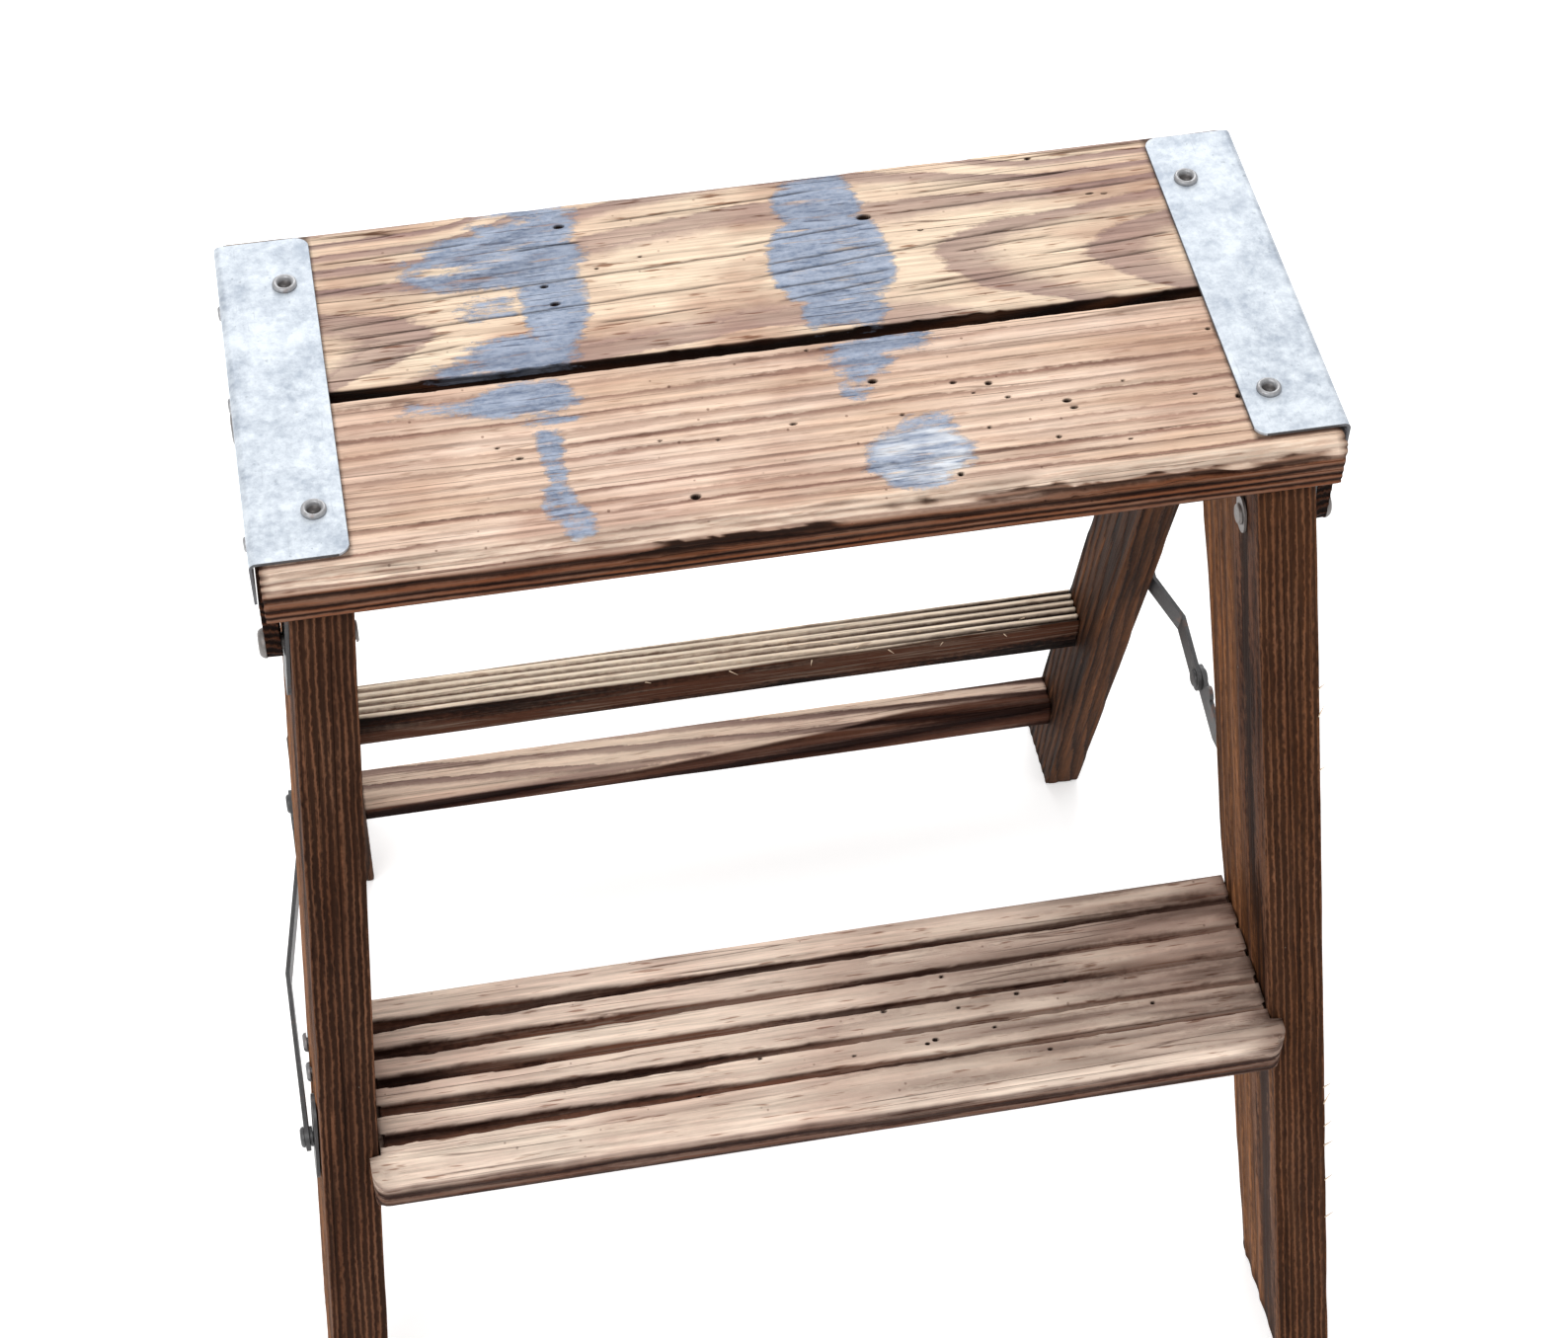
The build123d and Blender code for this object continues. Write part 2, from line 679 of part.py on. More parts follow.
rear_leg_left = mirrored(rear_leg_right)
rear_leg_left.part.label = "rear_leg_left"
export_step(rear_leg_left.part, "parts/rear_leg_left.step")


def rail(spot, rail_section):
    """A rail between the rear legs, set level, with its edges eased."""
    half_length = rear_leg_inner - seat_gap
    with BuildPart() as bar:
        with BuildSketch(Plane.YZ) as section:
            with Locations(spot):
                Rectangle(*rail_section)
            fillet(section.vertices(), rail_corner_radius)
        extrude(amount=half_length, both=True)
        for side in (-1, 1):
            cross_hole(side * half_length, *spot, rail_screw_radius + hole_gap, 2 * rail_screw_bite)
    return bar


upper_rail = rail(rail_spots[0], upper_rail_section)
upper_rail.part.label = "upper_rail"
export_step(upper_rail.part, "parts/upper_rail.step")

lower_rail = rail(rail_spots[1], lower_rail_section)
lower_rail.part.label = "lower_rail"
export_step(lower_rail.part, "parts/lower_rail.step")

rail_screws = side_fasteners(
    [(rear_leg_outer, y, z) for y, z in rail_spots],
    rail_screw_head_radius,
    rail_screw_head_height,
    rail_screw_radius,
    rear_leg_thickness + rail_screw_bite - rail_screw_head_height,
)
rail_screws.part.label = "rail_screws"
export_step(rail_screws.part, "parts/rail_screws.step")

# Pivot bolts through the cleats and the rear legs, with spacers, washers and nuts
washer_x = rear_leg_inner - run_gap - pivot_washer_thickness
nut_x = washer_x - pivot_nut_height
pivot_bolt_length = cleat_outer - nut_x + pivot_bolt_tip
pivot_bolts = side_fasteners(
    [(cleat_outer, pivot_y, pivot_z)],
    pivot_head_radius,
    pivot_head_height,
    pivot_bolt_radius,
    pivot_bolt_length,
)
pivot_bolts.part.label = "pivot_bolts"
export_step(pivot_bolts.part, "parts/pivot_bolts.step")

bolt_hole_radius = pivot_bolt_radius + hole_gap
spacer_x = rear_leg_outer + run_gap
pivot_spacers = ring_along_x(
    spacer_x, pivot_y, pivot_z, pivot_spacer_radius, bolt_hole_radius, cleat_inner - spacer_x
)
pivot_spacers.part.label = "pivot_spacers"
export_step(pivot_spacers.part, "parts/pivot_spacers.step")

pivot_washers = ring_along_x(
    washer_x, pivot_y, pivot_z, pivot_washer_radius, bolt_hole_radius, pivot_washer_thickness
)
pivot_washers.part.label = "pivot_washers"
export_step(pivot_washers.part, "parts/pivot_washers.step")

with BuildPart() as pivot_nuts:
    with BuildSketch(Plane.YZ.offset(nut_x)):
        with Locations((pivot_y, pivot_z)):
            RegularPolygon(pivot_nut_flats / 2, 6, major_radius=False)
            Circle(bolt_hole_radius, mode=Mode.SUBTRACT)
    extrude(amount=pivot_nut_height)
    mirror(about=Plane.YZ)
pivot_nuts.part.label = "pivot_nuts"
export_step(pivot_nuts.part, "parts/pivot_nuts.step")

# Spreaders: brackets on the front legs, pivots at both ends, and two bars a side that meet at the elbow
leg_rake = math.degrees(math.atan2(top_underside, leg_front(top_underside) - leg_front(0)))
bracket_right = splayed_plate(
    front_link_spot,
    bracket_length,
    bracket_width,
    leg_rake,
    0,
    bracket_thickness,
    front_link_spot,
    link_hole_radius,
)
bracket_right.part.label = "bracket_right"
export_step(bracket_right.part, "parts/bracket_right.step")

bracket_left = mirrored(bracket_right)
bracket_left.part.label = "bracket_left"
export_step(bracket_left.part, "parts/bracket_left.step")

front_link_pivots = link_pivots(front_link_spot, bracket_face, front_link_x)
front_link_pivots.part.label = "front_link_pivots"
export_step(front_link_pivots.part, "parts/front_link_pivots.step")

rear_link_pivots = link_pivots(rear_link_spot, rear_leg_outer, rear_link_x)
rear_link_pivots.part.label = "rear_link_pivots"
export_step(rear_link_pivots.part, "parts/rear_link_pivots.step")

rear_link_right = link_bar(
    rear_link_spot, elbow_spot, rear_link_straight, rear_link_bend, rear_link_x, elbow_inner_x, False
)
rear_link_right.part.label = "rear_link_right"
export_step(rear_link_right.part, "parts/rear_link_right.step")

rear_link_left = mirrored(rear_link_right)
rear_link_left.part.label = "rear_link_left"
export_step(rear_link_left.part, "parts/rear_link_left.step")

front_link_right = link_bar(
    front_link_spot, elbow_spot, front_link_straight, front_link_bend, front_link_x, elbow_outer_x, True
)
front_link_right.part.label = "front_link_right"
export_step(front_link_right.part, "parts/front_link_right.step")

front_link_left = mirrored(front_link_right)
front_link_left.part.label = "front_link_left"
export_step(front_link_left.part, "parts/front_link_left.step")

# The elbow rivet is in two halves, one on each bar, which meet with a small gap between the bars
elbow_head_right = elbow_half(elbow_spot, elbow_outer_x, True)
elbow_head_right.part.label = "elbow_head_right"
export_step(elbow_head_right.part, "parts/elbow_head_right.step")

elbow_head_left = mirrored(elbow_head_right)
elbow_head_left.part.label = "elbow_head_left"
export_step(elbow_head_left.part, "parts/elbow_head_left.step")

elbow_tail_right = elbow_half(elbow_spot, elbow_inner_x + link_thickness, False)
elbow_tail_right.part.label = "elbow_tail_right"
export_step(elbow_tail_right.part, "parts/elbow_tail_right.step")

elbow_tail_left = mirrored(elbow_tail_right)
elbow_tail_left.part.label = "elbow_tail_left"
export_step(elbow_tail_left.part, "parts/elbow_tail_left.step")

# The side-view points that the joints turn about
print("pivot", pivot_y, pivot_z)
print("rear link", rear_link_spot, "front link", front_link_spot, "elbow", elbow_spot)
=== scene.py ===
import json
import math

import bmesh
import bpy
from mathutils import Euler, Matrix, Vector, noise


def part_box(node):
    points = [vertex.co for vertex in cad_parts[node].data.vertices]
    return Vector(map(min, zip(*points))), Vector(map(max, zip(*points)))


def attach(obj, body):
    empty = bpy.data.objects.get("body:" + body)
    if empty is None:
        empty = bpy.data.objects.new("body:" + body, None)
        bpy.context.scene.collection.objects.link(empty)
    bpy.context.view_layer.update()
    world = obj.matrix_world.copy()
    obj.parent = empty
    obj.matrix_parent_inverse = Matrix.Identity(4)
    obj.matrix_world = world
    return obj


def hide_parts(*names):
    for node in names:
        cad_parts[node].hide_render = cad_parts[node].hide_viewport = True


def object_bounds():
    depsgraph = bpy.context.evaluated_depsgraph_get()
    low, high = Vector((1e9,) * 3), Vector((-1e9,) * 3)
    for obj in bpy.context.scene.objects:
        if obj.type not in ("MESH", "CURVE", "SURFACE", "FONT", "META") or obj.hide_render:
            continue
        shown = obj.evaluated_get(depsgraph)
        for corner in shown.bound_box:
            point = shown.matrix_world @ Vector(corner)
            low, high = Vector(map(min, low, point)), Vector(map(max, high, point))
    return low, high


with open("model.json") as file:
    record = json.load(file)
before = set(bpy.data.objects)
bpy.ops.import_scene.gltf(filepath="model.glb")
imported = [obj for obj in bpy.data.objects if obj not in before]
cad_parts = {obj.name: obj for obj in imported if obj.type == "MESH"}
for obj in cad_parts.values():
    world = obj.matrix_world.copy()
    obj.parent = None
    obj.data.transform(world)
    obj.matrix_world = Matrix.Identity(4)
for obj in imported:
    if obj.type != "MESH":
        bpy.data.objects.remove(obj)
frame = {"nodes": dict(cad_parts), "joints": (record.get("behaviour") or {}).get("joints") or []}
cad_low, cad_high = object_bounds()

# A weathered folding step stool. Metres throughout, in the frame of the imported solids: +X is the
# user's right, +Y points back, +Z up, and the floor is z = 0.

MM = 0.001

# Camera at the photograph's viewing angle
CAMERA_PLACE = (-0.18248, -0.90233, 1.45323)
CAMERA_TURN = (39.540, -0.816, -10.674)
CAMERA_LENS = 74.03
CAMERA_SENSOR = 36.0

# Studio
WHITE = (1.0, 1.0, 1.0, 1.0)
PALE_PAPER = (0.95, 0.95, 0.95, 1.0)
WORLD_LIGHT = 0.76
KEY_PLACE = (-1.0, -1.1, 2.3)
KEY_SIZE = 1.6
KEY_POWER = 24.0
FILL_PLACE = (0.25, 1.5, 1.4)
FILL_SIZE = 1.2
FILL_POWER = 14.0
FLOOR_GLOW = 0.38
FLOOR_REACH = 12.0

# Growth rings: how dark the wood is from the start of one ring to the start of the next
THIN_LINES = ((0.0, 1.0), (0.09, 0.14), (0.36, 0.0), (0.6, 0.22), (0.87, 0.85), (1.0, 1.0))
BROAD_BANDS = ((0.0, 1.0), (0.06, 0.08), (0.3, 0.0), (0.52, 0.1), (0.68, 0.78), (1.0, 1.0))
WORN_VALLEYS = ((0.0, 1.0), (0.17, 0.5), (0.34, 0.0), (0.64, 0.04), (0.83, 0.85), (1.0, 1.0))
BRIGHT_RIDGES = ((0.0, 1.0), (0.27, 0.93), (0.46, 0.3), (0.55, 0.0), (0.64, 0.25), (0.8, 0.92), (1.0, 1.0))
SOFT_BANDS = ((0.0, 0.8), (0.1, 0.0), (0.4, 0.1), (0.8, 0.7), (1.0, 1.0))
GRIMY_BANDS = ((0.0, 1.0), (0.22, 0.7), (0.42, 0.0), (0.6, 0.05), (0.78, 0.85), (1.0, 1.0))

# Blue-grey paint left on the top boards: centre x and y, half the width, half the depth and how far in
# from its edge it is still thin, in mm
PAINT_PATCHES = (
    (-106, 87, 37, 17, 9), (-91, 107, 22, 13, 9), (-85, 58, 14, 25, 9), (-102, 31, 23, 9, 5),
    (-126, 25, 12, 5, 2), (-113, 58, 11, 7, 0.6), (-105, 6.5, 23, 10, 6), (-135, 6, 17, 3.5, 1),
    (-96, -7.5, 11, 3, 1.5), (-98.5, -22, 6, 9, 3), (-97.5, -36, 4.5, 10, 2), (-98, -51, 7, 9, 1.5),
    (-93.5, -62, 6, 8, 1.5), (34, 101, 18, 15, 3), (34, 65, 26, 27, 12), (33, 35, 16, 13, 5),
    (42, 11.5, 21, 6, 4), (35, 3, 12, 6, 3), (31, -9, 6, 7, 0.4), (46, -50, 20, 13, 5),
    (44, -61, 13, 8, 3), (53, -36, 11, 6, 1.5),
)

# Where the paint is scraped off, and where it is chalky: centre x and y, half the width and half the
# depth, in mm
PAINT_SCRAPES = (
    (-131, 85, 10, 2.2), (-138, 95, 5, 3), (-104, 113, 12, 2.5), (30, 24, 12, 3), (-110, 43, 10, 2.5),
)
CHALKY_PAINT = (48, -52, 24, 20)


def eased(share, crowding):
    """A place from 0 to 1 moved so that places crowd together near both ends."""
    return share - crowding * math.sin(2 * math.pi * share) / (2 * math.pi)


def rise(value, start, end):
    """0 up to start, 1 from end on, and a smooth climb between them."""
    share = min(1.0, max(0.0, (value - start) / (end - start)))
    return share * share * (3 - 2 * share)


def rise_mm(value, start, end):
    """The same climb, from a start to an end in mm."""
    return rise(value, start * MM, end * MM)


def rise_before(value, edge, start, end):
    """The same climb, from a start to an end that lie so many mm before an edge."""
    return rise(value, edge - start * MM, edge - end * MM)


def ring_darkness(phase, profile):
    """How dark the wood is at a place counted in growth rings."""
    share = phase - math.floor(phase)
    for (start, low), (end, high) in zip(profile, profile[1:]):
        if share <= end:
            return low + (high - low) * (share - start) / (end - start)
    return profile[-1][1]


def wander(point, along, across, seed):
    """Smooth unevenness from -1 to 1 that is longer along the grain than across it."""
    return noise.noise(Vector((point.x / along + seed, point.y / across, point.z / across - seed)))


def waver(point, *waves):
    """Several such unevennesses added up, each with its height in mm."""
    return sum(height * MM * wander(point, along, across, seed) for height, along, across, seed in waves)


def rounded(local, size, corner):
    """A point of a block, moved where one of its edges is rounded over."""
    first, first_end, second, second_end, radius = corner
    reach = radius(local) if callable(radius) else radius
    a = size[first] - local[first] if first_end else local[first]
    b = size[second] - local[second] if second_end else local[second]
    if a >= reach or b >= reach:
        return local
    a, b = reach - a, reach - b
    pull = max(a, b) / max(math.hypot(a, b), 1e-9)
    a, b = reach - a * pull, reach - b * pull
    local = local.copy()
    local[first] = size[first] - a if first_end else a
    local[second] = size[second] - b if second_end else b
    return local


ALONG, ACROSS, THROUGH = 0, 1, 2
LOW, HIGH = 0, 1
ACROSS_CROWDING = 0.3
THROUGH_CROWDING = 0.35

# A plank's mesh is cut finer around its small holes, over this length and width
FINE_LENGTH = 6 * MM
FINE_WIDTH = 2.6 * MM


def long_edges(front_top, front_bottom, rear_top, rear_bottom):
    """The rounding of a plank's four long edges."""
    return [
        (ACROSS, LOW, THROUGH, HIGH, front_top),
        (ACROSS, LOW, THROUGH, LOW, front_bottom),
        (ACROSS, HIGH, THROUGH, HIGH, rear_top),
        (ACROSS, HIGH, THROUGH, LOW, rear_bottom),
    ]


def even_edges(radius):
    """The rounding of four long edges that are alike."""
    return long_edges(radius, radius, radius, radius)


def end_edges(radius):
    """The rounding of the edges around both ends of a plank."""
    return [
        (ALONG, end, axis, side, radius)
        for end in (LOW, HIGH)
        for axis in (ACROSS, THROUGH)
        for side in (LOW, HIGH)
    ]


def made_of(block, name, smooth=False):
    """An object that takes over the faces of a block."""
    mesh = bpy.data.meshes.new(name)
    block.to_mesh(mesh)
    block.free()
    for polygon in mesh.polygons:
        polygon.use_smooth = smooth
    piece = bpy.data.objects.new(name, mesh)
    bpy.context.scene.collection.objects.link(piece)
    return piece


class Mark:
    """What age has done at one point of a plank, and the shade painted on it."""

    def __init__(self, sink=0.0, stain=0.0, soot=0.0, wear=0.0, paint=-1.0):
        self.sink = sink
        self.stain = stain
        self.soot = soot
        self.wear = wear
        self.paint = paint


def plank(
    name, size, cells, corners, rings, profile, marks, place,
    trim=None, ridge=0.4 * MM, crowding=0.5, fine_spots=(),
):
    """A weathered plank of the given size: a block cut into cells, with rounded edges, whose soft growth
    rings are worn back by up to the ridge, and whose grain, rings and marks are kept for its finish."""
    block = bmesh.new()
    bmesh.ops.create_cube(block, size=1.0, matrix=Matrix.Translation((0.5, 0.5, 0.5)))
    for axis, count in enumerate(cells):
        lengthwise = []
        for edge in block.edges:
            step = edge.verts[1].co - edge.verts[0].co
            if abs(step[axis]) > 0.9 * step.length:
                lengthwise.append(edge)
        bmesh.ops.subdivide_edges(block, edges=lengthwise, cuts=count - 1, use_grid_fill=True)
    crowdings = (crowding, ACROSS_CROWDING, THROUGH_CROWDING)
    for vertex in block.verts:
        vertex.co = [eased(vertex.co[axis], crowdings[axis]) * size[axis] for axis in range(3)]
    for along, across in fine_spots:
        near = {
            vertex
            for vertex in block.verts
            if vertex.co.z > size[THROUGH] - 1e-6
            and abs(vertex.co.x - along) < FINE_LENGTH
            and abs(vertex.co.y - across) < FINE_WIDTH
        }
        spot_edges = [edge for edge in block.edges if edge.verts[0] in near and edge.verts[1] in near]
        bmesh.ops.subdivide_edges(block, edges=spot_edges, cuts=3, use_grid_fill=True)
    grain_layer = block.verts.layers.float_vector.new("grain")
    ring_layer = block.verts.layers.float.new("ring")
    mark_layers = {key: block.verts.layers.float.new(key) for key in ("stain", "soot", "wear", "paint")}
    for vertex in block.verts:
        local = vertex.co.copy()
        for corner in corners:
            local = rounded(local, size, corner)
        if trim:
            local = trim(local)
        vertex[grain_layer] = local
        vertex.co = place(local)
    bmesh.ops.recalc_face_normals(block, faces=block.faces)
    block.normal_update()
    for vertex in block.verts:
        local = vertex[grain_layer].copy()
        phase = rings(local)
        mark = marks(local)
        vertex.co -= vertex.normal * (ridge * ring_darkness(phase, profile) + mark.sink)
        vertex[ring_layer] = phase
        for key, layer in mark_layers.items():
            vertex[layer] = getattr(mark, key)
    return made_of(block, name, smooth=True)


def fit_in(piece, body, node, slot, material):
    """Puts a finished piece on its body, in place of its plain solid."""
    piece.data.materials.append(material)
    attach(piece, body)
    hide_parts(node)


# Finishes


def shade(red, green, blue):
    """A colour in steps from 0 to 255, as the linear colour that shaders read."""
    def linear(step):
        share = step / 255
        return share / 12.92 if share <= 0.04045 else ((share + 0.055) / 1.055) ** 2.4
    return (linear(red), linear(green), linear(blue), 1.0)


class Wiring:
    """A node tree, with short calls for the nodes that the finishes use."""

    def __init__(self, tree):
        self.tree = tree

    def node(self, kind, **settings):
        made = self.tree.nodes.new(kind)
        for setting, value in settings.items():
            setattr(made, setting, value)
        return made

    def feed(self, socket, value):
        if isinstance(value, bpy.types.NodeSocket):
            self.tree.links.new(value, socket)
        else:
            socket.default_value = value

    def fill(self, node, **values):
        """Feeds the named sockets of a node, with _ for each space of a name."""
        for socket, value in values.items():
            self.feed(node.inputs[socket.replace("_", " ")], value)

    def math(self, operation, first, second=0.0, third=0.0, clamp=False):
        made = self.node("ShaderNodeMath", operation=operation, use_clamp=clamp)
        for socket, value in zip(made.inputs, (first, second, third)):
            self.feed(socket, value)
        return made.outputs[0]

    def times(self, first, second):
        return self.math("MULTIPLY", first, second)

    def scaled(self, value, scale, shift):
        return self.math("MULTIPLY_ADD", value, scale, shift)

    def centred(self, value):
        return self.math("SUBTRACT", value, 0.5)

    def vector_math(self, operation, first, second):
        made = self.node("ShaderNodeVectorMath", operation=operation)
        self.feed(made.inputs[0], first)
        self.feed(made.inputs[1], second)
        return made.outputs[0]

    def stretched(self, vector, scale):
        """A place times one scale, or times a scale for each axis."""
        return self.vector_math("MULTIPLY", vector, scale if isinstance(scale, tuple) else (scale,) * 3)

    def mix(self, share, first, second, blend="MIX"):
        made = self.node("ShaderNodeMix", data_type="RGBA", blend_type=blend, clamp_factor=True)
        for index, value in ((0, share), (6, first), (7, second)):
            self.feed(made.inputs[index], value)
        return made.outputs[2]

    def darkened(self, share, colour, tone):
        """A colour darkened by a tone, where the share says so."""
        return self.mix(share, colour, self.mix(1.0, colour, tone, "MULTIPLY"))

    def noise(self, vector, scale, detail=2.0, roughness=0.5):
        made = self.node("ShaderNodeTexNoise")
        place = self.stretched(vector, scale)
        self.fill(made, Vector=place, Scale=1.0, Detail=detail, Roughness=roughness)
        return made.outputs[0]

    def ramp(self, value, *stops):
        made = self.node("ShaderNodeValToRGB")
        elements = made.color_ramp.elements
        while len(elements) < len(stops):
            elements.new(1.0)
        for element, (position, level) in zip(elements, stops):
            element.position = position
            element.color = (level, level, level, 1.0)
        self.feed(made.inputs[0], value)
        return made.outputs[0]

    def patches(self, vector, scale, bare, full, detail=2.0, roughness=0.5):
        """Noise that counts as 0 up to one level and as 1 from another on."""
        return self.ramp(self.noise(vector, scale, detail, roughness), (bare, 0.0), (full, 1.0))

    def dots(self, vector, fineness, near, far, spread):
        """Small round dots at some of the places of a cell pattern."""
        cells = self.node("ShaderNodeTexVoronoi")
        self.fill(cells, Vector=self.stretched(vector, fineness), Scale=1.0)
        dot = self.ramp(cells.outputs["Distance"], (near, 1.0), (far, 0.0))
        return self.times(dot, self.patches(vector, spread, 0.56, 0.6, 1.0))

    def attribute(self, name):
        made = self.node("ShaderNodeAttribute", attribute_name=name)
        return made.outputs["Vector"] if name == "grain" else made.outputs["Fac"]

    def place(self):
        return self.node("ShaderNodeTexCoord").outputs["Object"]


def make_pine_figure():
    """Where a point is within its growth ring, and the fibres, blotches, cracks and dashes of pine."""
    tree = bpy.data.node_groups.new("pine_figure", "ShaderNodeTree")
    for kind, in_out, names in (
        ("Vector", "INPUT", ("Grain",)),
        ("Float", "INPUT", ("Ring", "Ripple", "Fray")),
        ("Float", "OUTPUT", ("Phase", "Bold", "Fibre", "Blotch", "Cloud", "Crack", "Dash", "Speck")),
    ):
        for name in names:
            tree.interface.new_socket(name, in_out=in_out, socket_type="NodeSocket" + kind)
    wiring = Wiring(tree)
    given = wiring.node("NodeGroupInput").outputs
    put = wiring.node("NodeGroupOutput").inputs
    grain = given["Grain"]
    fibre = wiring.noise(grain, (15, 560, 560), 4.0, 0.66)
    ripple = wiring.times(wiring.centred(wiring.noise(grain, (14, 130, 130), 3.0)), given["Ripple"])
    fray = wiring.times(wiring.centred(fibre), given["Fray"])
    jag = wiring.centred(wiring.noise(grain, (240, 420, 420), 2.0, 0.6))
    fray = wiring.scaled(jag, wiring.times(given["Fray"], 0.9), fray)
    ring = wiring.math("ADD", wiring.math("ADD", given["Ring"], ripple), fray)
    count = wiring.node("ShaderNodeCombineXYZ")
    number = wiring.math("FLOOR", wiring.math("ADD", ring, 0.3))
    wiring.feed(count.inputs[1], wiring.times(number, 0.83))
    along = wiring.stretched(grain, (5, 0, 0))
    bold = wiring.noise(wiring.vector_math("ADD", count.outputs[0], along), 1, 1.0)
    split = wiring.math("ABSOLUTE", wiring.centred(wiring.noise(grain, (2.6, 140, 140), 1.5, 0.45)))
    split = wiring.ramp(split, (0.0, 1.0), (0.011, 0.0))
    for name, value in (
        ("Phase", wiring.math("FRACT", ring)),
        ("Bold", wiring.ramp(bold, (0.32, 0.3), (0.62, 1.0))),
        ("Fibre", wiring.ramp(fibre, (0.3, 0.0), (0.7, 1.0))),
        ("Blotch", wiring.patches(grain, (9, 50, 50), 0.34, 0.66, 4.0, 0.6)),
        ("Cloud", wiring.patches(grain, (16, 28, 28), 0.44, 0.66, 3.0, 0.55)),
        ("Crack", wiring.times(split, wiring.patches(grain, (7, 34, 34), 0.47, 0.56))),
        ("Dash", wiring.patches(grain, (55, 620, 620), 0.62, 0.7)),
        ("Speck", wiring.dots(grain, 170, 0.08, 0.13, 37)),
    ):
        wiring.feed(put[name], value)
    return tree


PINE_FIGURE = make_pine_figure()
# The colour of soot, also used for painted shade
SOOT_AND_SHADE = shade(30, 18, 13)
WOOD_GLOSS = 0.06


def finish_material(name):
    """A new material, its wiring and its shader."""
    material = bpy.data.materials.new(name)
    material.use_nodes = True
    return material, Wiring(material.node_tree), material.node_tree.nodes["Principled BSDF"]


def bumped(wiring, shader, height, depth, strength):
    """Feeds a height to the shader's normal."""
    bump = wiring.node("ShaderNodeBump")
    wiring.fill(bump, Strength=strength, Distance=depth, Height=height)
    wiring.fill(shader, Normal=bump.outputs[0])


def old_paint(wiring, grain, figure, late, crack):
    """How far old blue-grey paint covers the wood, and the paint's colour."""
    ragged = wiring.centred(wiring.noise(grain, (110, 260, 260), 6.0, 0.75))
    reach = wiring.scaled(ragged, 1.3, wiring.attribute("paint"))
    fingers = wiring.centred(wiring.noise(grain, (36, 430, 430), 3.0, 0.6))
    reach = wiring.scaled(fingers, 0.5, wiring.math("ADD", reach, 0.07))
    cover = wiring.ramp(reach, (0.0, 0.0), (0.07, 0.45), (0.22, 1.0))
    rubbed = wiring.noise(grain, (34, 420, 420), 4.0, 0.66)
    cover = wiring.times(cover, wiring.ramp(rubbed, (0.3, 0.1), (0.42, 1.0)))
    chalk = wiring.patches(grain, (60, 300, 300), 0.36, 0.64, 5.0, 0.72)
    grit = wiring.patches(grain, (420, 620, 620), 0.34, 0.64, 3.0, 0.7)
    white = wiring.patches(grain, (30, 210, 210), 0.46, 0.6, 4.0, 0.6)
    film = wiring.mix(chalk, shade(98, 116, 144), shade(164, 176, 197))
    film = wiring.mix(wiring.times(grit, 0.35), film, shade(190, 198, 212))
    film = wiring.mix(wiring.times(white, wiring.attribute("wear")), film, shade(228, 232, 238))
    film = wiring.darkened(wiring.times(late, 0.45), film, shade(176, 176, 180))
    film = wiring.darkened(figure["Dash"], film, shade(186, 186, 190))
    return cover, wiring.mix(crack, film, shade(66, 66, 76))


